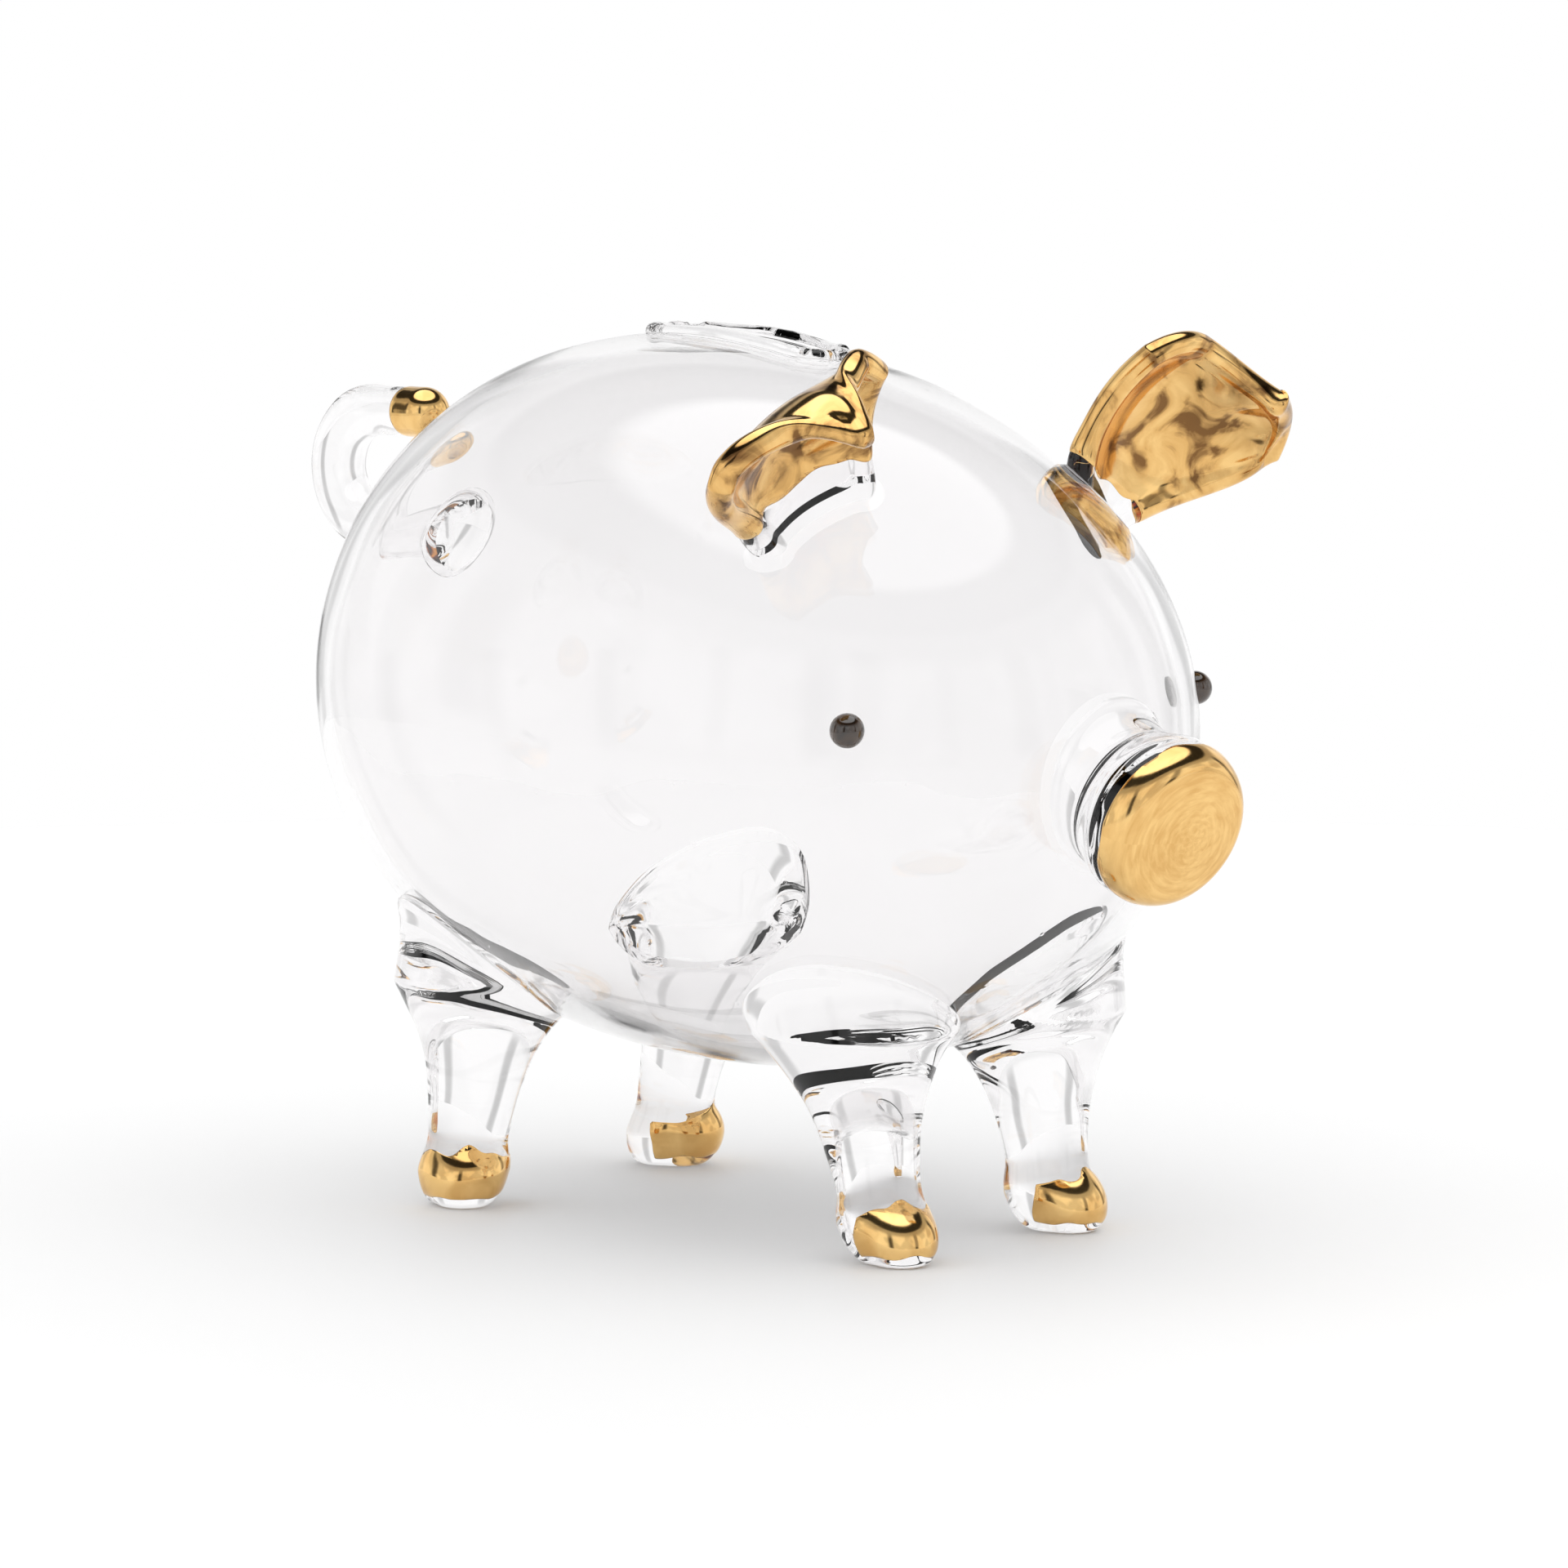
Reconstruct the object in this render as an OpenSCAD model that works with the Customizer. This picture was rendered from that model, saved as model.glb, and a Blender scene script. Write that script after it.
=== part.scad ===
// Blown glass piggy bank: a hollow egg of clear glass with a coin slot along its back, four solid
// legs, two cupped ears, a curled tail, a disc snout and two dark beads for eyes. The ears, the toes,
// the face of the snout and the tip of the tail carry a skin of gold lustre.
// The pig looks along -Y, its left side is +X, and it stands on the plane Z = 0.

/* [Body] */
// Largest diameter of the blown body
body_d = 95; // [80:1:120]
// Length of the blown body, nose to rump
body_len = 128; // [112:1:156]
// Thickness of the blown wall
wall = 2.3; // [2:0.1:3]
// How much slimmer the nose half is than the rump half
nose_taper = 0.063; // [0:0.001:0.1]
// How full the two ends of the egg are
fullness = 0.148; // [0:0.001:0.2]
// Nose-down tilt of the body, degrees
body_pitch = 6.3; // [0:0.1:10]
// Clear height under the belly
belly_h = 20; // [16:0.5:28]

/* [Coin slot] */
// Diameter of the largest coin that drops in
coin_d = 25.75; // [20:0.05:27]
// Length added to the coin's diameter, so that it falls through freely
coin_play = 2.25; // [1:0.25:4]
// Width of the slot
slot_w = 5; // [4.6:0.1:6]
// Thickness of the glass thread fused round the slot
lip_t = 2.2; // [1.6:0.1:3.2]
// Height of the thread above the body at the middle of the slot
lip_h = 0.6; // [0.5:0.1:3]
// Place of the slot's middle along the back, degrees from the nose
slot_station = 96; // [90:0.5:102]

/* [Snout] */
// Diameter of the snout
snout_d = 22; // [17:0.1:26]
// How far the middle of the snout's face stands off the nose
snout_len = 14.5; // [12:0.5:17]
// Rounding of the snout's front edge
snout_round = 2.6; // [1.5:0.1:3.5]
// Depth of the groove between the snout and the face
snout_groove = 0.7; // [0.3:0.1:1.5]
// Downward tilt of the snout, degrees
snout_pitch = 20; // [10:1:28]
// Turn of the snout towards the pig's right, degrees
snout_turn = 7; // [0:1:14]

/* [Ears] */
// Diameter of an ear's round leaf
ear_d = 27; // [23:0.5:32]
// Thickness of the ear glass
ear_t = 2; // [1.6:0.1:2.8]
// Radius of the ear's hollow
ear_cup_r = 24; // [20:0.5:40]
// Width of the ear's root on the body
ear_root_w = 18; // [14:0.5:20]
// Diameter of the bead of glass along the root
ear_root_d = 5; // [4:0.1:6]
// Diameter of the bead at the ear's tip
ear_tip_d = 3; // [2.4:0.1:4]
// How far the pinched tip stands out in front of the leaf
ear_tip_out = 10; // [6:0.5:12]
// Forward lean of the ears, degrees
ear_lean = 31; // [20:1:36]

/* [Tail] */
// Diameter of the tail rod
tail_d = 7.8; // [6:0.1:9]
// Diameter of the tail's rounded tip
tail_tip_d = 6.6; // [5:0.1:7.4]
// Radius of the curl, to the middle of the rod
tail_curl_r = 7.8; // [6.5:0.1:10]
// Length of the straight run from the rump to the curl
tail_run = 15; // [12:0.5:20]
// Length from the curl to the middle of the tip
tail_end = 10; // [9:0.5:14]

/* [Legs] */
// Diameter of a leg at the ankle
ankle_d = 10.5; // [8:0.1:12]
// Diameter of a leg where it joins the body
hip_d = 25.5; // [20:0.5:28]
// Diameter of the rounded foot
foot_d = 11.6; // [10:0.1:14]
// Diameter of the flat sole
sole_d = 7; // [5:0.1:8]
// Diameter of the toe
toe_d = 9.6; // [8:0.1:11]
// Reach of the toe's middle in front of the ankle
toe_reach = 2.6; // [2:0.1:4]
// Depth by which the toe's ball is flattened on the sole
toe_flat = 1.2; // [0:0.1:2]
// Sideways place of a front foot
front_foot_x = 17.2; // [14:0.1:22]
// Distance of the front feet ahead of the body's middle
front_foot_y = 40.8; // [37:0.1:45]
// Sideways place of a rear foot
rear_foot_x = 22; // [16:0.1:26]
// Distance of the rear feet behind the body's middle
rear_foot_y = 34.8; // [30:0.1:40]
// How far the right rear foot stands forward and outward of its place, and the left one the other way
rear_skew = 3; // [0:0.1:4]
// The same for the front feet
front_skew = 1.7; // [0:0.1:3]

/* [Eyes] */
// Diameter of an eye bead
eye_d = 4.4; // [3.6:0.1:6]
// Depth to which an eye bead is sunk in the wall
eye_sink = 1.5; // [0.8:0.1:1.7]

/* [Gold] */
// Thickness given to the gold lustre
gold_t = 0.4; // [0.3:0.05:0.6]

/* [Hidden] */

$fn = 64;

glass = [0.86, 0.90, 0.90, 0.45];
gold = [0.86, 0.66, 0.32];
dark_glass = [0.16, 0.10, 0.06];

// Steps along the egg's outline from pole to pole
egg_steps = 40;
pole = body_len / 2;
body_z = belly_h + body_d / 2;

// Places on the body as [station, angle]: the station runs from 0 at the nose to 180 at the rump, and
// the angle from 0 at the left side over 90 on top to -90 under the belly
eye_left_place = [44, 13.2];
eye_right_place = [42.2, 11.7];
ear_place = [59.7, 49.3];
front_hip = [54, -65];
rear_left_hip = [115.5, -61.5];
rear_right_hip = [112.5, -61.5];
tail_place = [166, 90];

// Slope of the ear's root down the side of the head, and its sweep towards the rump
ear_drop = 28.6;
ear_sweep = 6.1;
// Sideways place of the leaf and of its tip, measured along the root
leaf_shift = 2.5;
tip_shift = 1.1;
// Depth of the leaf's lower edge below its root, which keeps it inside the glass of the head
leaf_dip = 1;
// Height above the root at which the ear's gold begins
ear_gold_from = 5;

// Depth of the snout's root inside the body, and the crown of its face
snout_root = 8;
snout_crown = 0.6;
// Width of the gold's border on the side of the snout, behind the rounding
snout_gold_side = 0.8;

// How late a leg's shank widens towards the hip, and how far the hip runs on inside the body
hip_bend = 2.4;
hip_root = 14;

// Outward turn of the toes
front_toe_turn = 12;
rear_toe_turn = 28;
// Height of the clear sole under the gold of a hoof
sole_clear = 1.2;

// Length of the gold on the tail's tip, behind the middle of the rounded end
tail_gold_len = 5.5;
// Flare of the tail's root, and how far along the tail it reaches
tail_root_d = 13;
tail_flare = 6;

// The bank is centred on the origin along Y: reach of the snout ahead of the body's middle, and reach
// of the tail behind it
front_reach = pole * cos(body_pitch) + snout_len * cos(snout_pitch) * cos(snout_turn)
    + (snout_d / 2 - snout_round) * norm([sin(snout_pitch), sin(snout_turn)]) + gold_t;
tail_root = tilt([0, egg_y(tail_place[0]), egg_r(tail_place[0])]);
rear_reach = tail_root[1] + tail_run + tail_curl_r + tail_d / 2;
body_y = (front_reach - rear_reach) / 2;
body_middle = [0, body_y, body_z];

// ---- The egg ----

// Radius of the egg at a station
function egg_r(t) = body_d / 2 * sin(t) * (1 - nose_taper * cos(t) + fullness * cos(t) * cos(t));
// Place of the station along the axis
function egg_y(t) = -pole * cos(t);
// Outward unit normal of the outline, as [radial, axial]
function egg_normal(t) =
    let (e = 0.05, s = [egg_r(t + e) - egg_r(t - e), egg_y(t + e) - egg_y(t - e)]) [s[1], -s[0]] / norm(s);
// Outline point moved outwards by g
function egg_point(t, g = 0) = [egg_r(t), egg_y(t)] + g * egg_normal(t);
// Turns the upright egg nose-down
function tilt(p) = [
    p[0],
    p[1] * cos(body_pitch) - p[2] * sin(body_pitch),
    p[1] * sin(body_pitch) + p[2] * cos(body_pitch)
];
// A place on the glass, moved outwards by g
function on_glass(place, g = 0) =
    let (q = egg_point(place[0], g), a = place[1])
    tilt([q[0] * cos(a), q[1], q[0] * sin(a)]) + body_middle;

// Solid egg, grown outwards by g
module egg(g = 0) {
    sides = [for (i = [1 : egg_steps - 1]) egg_point(180 * i / egg_steps, g)];
    outline = concat([[0, -pole - g]], sides, [[0, pole + g]]);
    translate(body_middle) rotate([body_pitch - 90, 0, 0]) rotate_extrude($fn = 240) polygon(outline);
}

// Moves its children so that their Z axis runs from point p towards point q
module aim(p, q) {
    d = q - p;
    translate(p) rotate([0, acos(d[2] / norm(d)), atan2(d[1], d[0])]) children();
}

// Keeps the children on the left side, or mirrors them to the right
module on_side(side) {
    mirror([side < 0 ? 1 : 0, 0, 0]) children();
}

// ---- Body and coin slot ----

slot_len = coin_d + coin_play;
slot_middle = on_glass([slot_station, 90]);

// Slot-shaped prism, grown outwards by g, from depth below the back to height above it
module slot_prism(g, depth, height) {
    run = slot_len - slot_w;
    translate(slot_middle) rotate([body_pitch, 0, 0]) translate([0, 0, -depth])
        linear_extrude(depth + height) {
            square([slot_w + 2 * g, run], center = true);
            for (s = [-1, 1]) translate([0, s * run / 2]) circle(d = slot_w + 2 * g);
        }
}

module body_shell() {
    color(glass) difference() {
        egg();
        egg(-wall);
        slot_prism(0, 3 * wall, wall);
        for (side = [-1, 1]) eye_bead(side);
    }
}

module slot_lip() {
    color(glass) difference() {
        slot_prism(lip_t, wall, lip_h);
        egg();
        slot_prism(0, 3 * wall, lip_h + wall);
    }
}

// ---- Eyes ----

module eye_bead(side) {
    place = side > 0 ? eye_left_place : eye_right_place;
    on_side(side) translate(on_glass(place, eye_d / 2 - eye_sink)) sphere(d = eye_d);
}

// ---- Snout ----

snout_r = snout_d / 2;
nose = on_glass([0, 0]);

module snout_axis() {
    translate(nose) rotate([90 + snout_pitch, 0, -snout_turn]) children();
}

// Turned solid of the snout, grown outwards by g
module snout_solid(g) {
    corner = [snout_r - snout_round, snout_len - snout_round - snout_crown];
    reach = snout_round + g;
    rim = [for (a = [0 : 15 : 75]) corner + reach * [cos(a), sin(a)]];
    face = [for (k = [1 : -0.25 : 0]) [corner[0] * k, corner[1] + reach + snout_crown * (1 - k * k)]];
    side = [
        [0, -snout_root],
        [snout_r - snout_groove + g, -snout_root],
        [snout_r - snout_groove + g, 1.5],
        [snout_r + g, 3]
    ];
    rotate_extrude() polygon(concat(side, rim, face));
}

module snout() {
    color(glass) difference() {
        snout_axis() snout_solid(0);
        egg();
    }
}

module snout_gold() {
    from = snout_len - snout_round - snout_crown - snout_gold_side;
    color(gold) snout_axis() difference() {
        snout_solid(gold_t);
        snout_solid(0);
        translate([0, 0, from - 50]) cylinder(r = 2 * snout_r, h = 50);
    }
}

// ---- Ears ----

ear_root = on_glass(ear_place);

// Puts a leaf, drawn upright with its hollow towards -Y, on its root
module ear_axis() {
    translate(ear_root) rotate([0, 0, ear_sweep]) rotate([0, ear_drop, 0])
        rotate([ear_lean, 0, 0]) children();
}

ear_r = ear_d / 2;
// Height of the leaf's middle above its root
ear_h = ear_r - leaf_dip;
cup_back = sqrt(ear_cup_r * ear_cup_r - ear_r * ear_r);
// Height of the pinch above the middle of the leaf, and the drop from there to the tip's bead
pinch_up = ear_r - 3;
pinch_drop = 2.5;
// Radius of the pinch where it leaves the leaf, and how much slimmer than its bead it ends
pinch_r = 2.4;
pinch_neck = 0.2;

// Hollow round leaf with its stalk, grown outwards by g
module leaf(g) {
    intersection() {
        translate([leaf_shift, -cup_back, ear_h]) difference() {
            sphere(r = ear_cup_r + ear_t / 2 + g, $fn = 96);
            sphere(r = ear_cup_r - ear_t / 2 - g, $fn = 96);
        }
        rotate([90, 0, 0]) translate([0, 0, -ear_cup_r]) linear_extrude(1.5 * ear_cup_r) {
            translate([leaf_shift, ear_h]) circle(r = ear_r + g);
            translate([-ear_root_w / 2 - g, -1]) square([ear_root_w + 2 * g, ear_h]);
        }
    }
}

// Pinched tip and its bead, grown outwards by g
module leaf_tip(g) {
    leaf_y = sqrt(ear_cup_r * ear_cup_r - pinch_up * pinch_up) - cup_back;
    heel = [tip_shift, leaf_y, ear_h + pinch_up];
    end = [tip_shift, -ear_tip_out, ear_h + pinch_up - pinch_drop];
    aim(heel, end) cylinder(r1 = pinch_r + g, r2 = ear_tip_d / 2 - pinch_neck + g, h = norm(end - heel));
    translate(end) sphere(d = ear_tip_d + 2 * g);
}

module ear(side) {
    run = ear_root_w - ear_root_d;
    color(glass) on_side(side) difference() {
        union() {
            ear_axis() {
                leaf(0);
                leaf_tip(0);
            }
            ear_axis() translate([-run / 2, 0, 0]) rotate([0, 90, 0]) cylinder(d = ear_root_d, h = run);
            ear_axis() for (s = [-1, 1]) translate([s * run / 2, 0, 0]) sphere(d = ear_root_d);
        }
        egg();
    }
}

module ear_gold(side) {
    color(gold) on_side(side) difference() {
        ear_axis() {
            leaf(gold_t);
            leaf_tip(gold_t);
        }
        ear_axis() {
            leaf(0);
            leaf_tip(0);
            translate([-50, -50, ear_gold_from - 50]) cube([100, 100, 50]);
        }
    }
}

// ---- Tail ----

// The tail is drawn along +Y from the rump and curls up and forwards; its rod grows outwards by g
module tail_rod(g) {
    end_y = tail_run - tail_end;
    rotate([-90, 0, 0]) cylinder(d = tail_d + 2 * g, h = tail_run);
    rotate([-90, 0, 0]) cylinder(d1 = tail_root_d + 2 * g, d2 = tail_d + 2 * g, h = tail_flare);
    translate([0, tail_run, tail_curl_r]) rotate([0, 90, 0])
        rotate_extrude(angle = 180) translate([tail_curl_r, 0]) circle(d = tail_d + 2 * g);
    translate([0, tail_run, 2 * tail_curl_r]) rotate([90, 0, 0])
        cylinder(d1 = tail_d + 2 * g, d2 = tail_tip_d + 2 * g, h = tail_end);
    translate([0, end_y, 2 * tail_curl_r]) sphere(d = tail_tip_d + 2 * g);
}

module tail_axis() {
    translate(tail_root + body_middle) children();
}

module tail() {
    color(glass) difference() {
        tail_axis() {
            tail_rod(0);
            rotate([90, 0, 0]) cylinder(d = tail_root_d, h = tail_flare);
        }
        egg();
    }
}

module tail_gold() {
    end_y = tail_run - tail_end;
    color(gold) tail_axis() intersection() {
        difference() {
            tail_rod(gold_t);
            tail_rod(0);
        }
        translate([-10, end_y - 10, tail_curl_r]) cube([20, 10 + tail_gold_len, 2 * tail_curl_r]);
    }
}

// ---- Legs and hooves ----

foot_z = sqrt(foot_d * foot_d - sole_d * sole_d) / 2;

// Middle of a foot, before mirroring to its side
function foot_at(front, side) = front
    ? [front_foot_x - side * front_skew, body_y - front_foot_y + side * front_skew, 0]
    : [rear_foot_x - side * rear_skew, body_y + rear_foot_y + side * rear_skew, 0];
// Place of a leg's hip on the glass
function hip_at(front, side) = front ? front_hip : side > 0 ? rear_left_hip : rear_right_hip;

// Shank from the foot to the hip, widening upwards as the gather was drawn down from the body
module shank(foot, hip) {
    drop = norm(hip - foot);
    steps = 10;
    grow = (hip_d - ankle_d) / 2;
    flare = [for (i = [0 : steps]) let (k = i / steps) [ankle_d / 2 + grow * pow(k, hip_bend), drop * k]];
    aim(foot, hip) rotate_extrude()
        polygon(concat([[0, 0]], flare, [[hip_d / 2, drop + hip_root], [0, drop + hip_root]]));
}

// Toe frame: under the toe's middle, turned outwards with it
module toe_axis(front, side) {
    turn = front ? front_toe_turn : rear_toe_turn;
    translate(foot_at(front, side)) rotate([0, 0, turn]) translate([0, -toe_reach, 0]) children();
}

// Toe ball in front of the foot, grown outwards by g
module toe(front, side, g) {
    toe_axis(front, side) translate([0, 0, toe_d / 2 - toe_flat]) sphere(d = toe_d + 2 * g);
}

module leg_solid(front, side) {
    foot = foot_at(front, side) + [0, 0, foot_z];
    shank(foot, on_glass(hip_at(front, side)));
    translate(foot) sphere(d = foot_d);
    toe(front, side, 0);
}

module leg(front, side) {
    color(glass) on_side(side) difference() {
        leg_solid(front, side);
        egg();
        translate(foot_at(front, side) - [20, 20, 20]) cube([40, 40, 20]);
    }
}

// Gold over the toe, in front of the ankle and above the clear sole
module hoof_gold(front, side) {
    color(gold) on_side(side) difference() {
        toe(front, side, gold_t);
        leg_solid(front, side);
        toe_axis(front, side) {
            translate([-20, -20, sole_clear - 20]) cube([40, 40, 20]);
            translate([-20, 1.5, 0]) cube(40);
        }
    }
}

body_shell();
slot_lip();
snout();
snout_gold();
ear(1);  // ear_left
ear(-1);  // ear_right
ear_gold(1);  // ear_gold_left
ear_gold(-1);  // ear_gold_right
tail();
tail_gold();
leg(true, 1);  // leg_front_left
leg(true, -1);  // leg_front_right
leg(false, 1);  // leg_rear_left
leg(false, -1);  // leg_rear_right
hoof_gold(true, 1);  // hoof_gold_front_left
hoof_gold(true, -1);  // hoof_gold_front_right
hoof_gold(false, 1);  // hoof_gold_rear_left
hoof_gold(false, -1);  // hoof_gold_rear_right
color(dark_glass) eye_bead(1);  // eye_left
color(dark_glass) eye_bead(-1);  // eye_right
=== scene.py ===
"""Blown glass piggy bank with gold lustre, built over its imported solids.

Every size is in metres. The pig looks along -Y, its left side is +X, and it stands on Z = 0.
The body is a thin egg of clear glass with a coin slot along its back. The solid glass legs,
ears, snout, tail and slot lip are fused to the outside of it. All but the lip carry gold lustre.
"""

from __future__ import annotations

import logging
import math
from dataclasses import dataclass, field
from enum import Enum
from typing import Callable, Iterable, Sequence, Union

import bmesh
import bpy
import numpy as np
from mathutils import Matrix, Vector, noise


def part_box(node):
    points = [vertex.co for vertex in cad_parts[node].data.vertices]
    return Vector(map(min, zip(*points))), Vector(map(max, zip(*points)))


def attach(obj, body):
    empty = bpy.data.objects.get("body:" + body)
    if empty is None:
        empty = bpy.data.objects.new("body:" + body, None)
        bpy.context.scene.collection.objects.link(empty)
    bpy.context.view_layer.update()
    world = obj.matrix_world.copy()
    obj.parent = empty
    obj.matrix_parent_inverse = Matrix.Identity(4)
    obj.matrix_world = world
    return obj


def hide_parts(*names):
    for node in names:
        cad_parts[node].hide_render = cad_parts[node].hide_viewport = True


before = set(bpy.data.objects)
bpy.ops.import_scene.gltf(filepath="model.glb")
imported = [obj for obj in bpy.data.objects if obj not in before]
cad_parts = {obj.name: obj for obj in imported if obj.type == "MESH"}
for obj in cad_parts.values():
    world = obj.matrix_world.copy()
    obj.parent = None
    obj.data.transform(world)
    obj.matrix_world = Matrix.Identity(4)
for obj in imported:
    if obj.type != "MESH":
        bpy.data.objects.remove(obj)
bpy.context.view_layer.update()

LOG = logging.getLogger("piggy_bank")
ROOT = "root"
MM = 0.001
# Gap left between two surfaces that are fused in the flame
SEAM_GAP = 0.02 * MM
# Fused contact is marked below zero in this attribute, in metres from the contact's edge
FUSED = "fused"
# What that attribute holds away from every contact, and how far past a contact it is worked out
UNMARKED = 5.0 * MM
MARK_REACH = 3.0 * MM


class Side(Enum):
    """A side of the pig, with the sign of its X axis."""

    LEFT = 1
    RIGHT = -1

    @property
    def word(self) -> str:
        """The side as it stands in a piece's name."""
        return self.name.lower()

    @property
    def flip(self) -> np.ndarray:
        """Factors that carry points of the left side over to this one."""
        return np.array([float(self.value), 1.0, 1.0])


class End(Enum):
    """The head end or the rump end of the pig."""

    FRONT = "front"
    REAR = "rear"


# ---- Arithmetic that works on arrays and on node trees alike


class Field:
    """A number in a node tree. Arithmetic on it adds Math nodes to that tree."""

    def __init__(self, tree: bpy.types.NodeTree, socket: bpy.types.NodeSocket) -> None:
        """Wraps an output socket.

        Args:
            tree: The tree that the socket belongs to.
            socket: The output that carries the number.
        """
        self.tree = tree
        self.socket = socket

    def math(self, operation: str, *others: Value) -> Field:
        """Adds one Math node.

        Args:
            operation: The node's operation, such as "ADD".
            others: The second and third operands.

        Returns:
            The node's result.
        """
        return add_math(self.tree, operation, self, *others)

    def __add__(self, other: Value) -> Field:
        """Sum."""
        return self.math("ADD", other)

    __radd__ = __add__

    def __sub__(self, other: Value) -> Field:
        """Difference."""
        return self.math("SUBTRACT", other)

    def __rsub__(self, other: Value) -> Field:
        """Difference the other way round."""
        return add_math(self.tree, "SUBTRACT", other, self)

    def __mul__(self, other: Value) -> Field:
        """Product."""
        return self.math("MULTIPLY", other)

    __rmul__ = __mul__

    def __truediv__(self, other: Value) -> Field:
        """Quotient."""
        return self.math("DIVIDE", other)

    def __rtruediv__(self, other: Value) -> Field:
        """Quotient the other way round."""
        return add_math(self.tree, "DIVIDE", other, self)

    def __neg__(self) -> Field:
        """Negative."""
        return self.math("MULTIPLY", -1.0)


Value = Union[float, np.ndarray, Field]


def add_math(tree: bpy.types.NodeTree, operation: str, *operands: Value) -> Field:
    """Adds a Math node with these operands.

    Args:
        tree: The tree that gets the node.
        operation: The node's operation.
        operands: Numbers and fields, in the order of the node's inputs.

    Returns:
        The node's result.
    """
    node = tree.nodes.new("ShaderNodeMath")
    node.operation = operation
    for index, operand in enumerate(operands):
        if isinstance(operand, Field):
            tree.links.new(operand.socket, node.inputs[index])
        else:
            node.inputs[index].default_value = operand
    return Field(tree, node.outputs[0])


def sine(x: Value) -> Value:
    """Sine of an angle in radians."""
    return x.math("SINE") if isinstance(x, Field) else np.sin(x)


def cosine(x: Value) -> Value:
    """Cosine of an angle in radians."""
    return x.math("COSINE") if isinstance(x, Field) else np.cos(x)


def root(x: Value) -> Value:
    """Square root."""
    return x.math("SQRT") if isinstance(x, Field) else np.sqrt(x)


def power(x: Value, exponent: float) -> Value:
    """x to a power, for x of zero and above."""
    return x.math("POWER", exponent) if isinstance(x, Field) else np.power(x, exponent)


def greater(x: Value, low: float) -> Value:
    """The larger of x and a bound."""
    return x.math("MAXIMUM", low) if isinstance(x, Field) else np.maximum(x, low)


def smaller(x: Value, high: float) -> Value:
    """The smaller of x and a bound."""
    return x.math("MINIMUM", high) if isinstance(x, Field) else np.minimum(x, high)


def smooth_step(x: Value) -> Value:
    """Rises from 0 to 1 as x does, level at both ends."""
    held = greater(smaller(x, 1.0), 0.0)
    return held * held * (3.0 - 2.0 * held)


def rise_over(x: Value, start: float, width: float) -> Value:
    """Rises smoothly from 0 at the start to 1 a width beyond it."""
    return smooth_step((x - start) / width)


Triple = tuple[Value, Value, Value]


# ---- The egg


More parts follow.
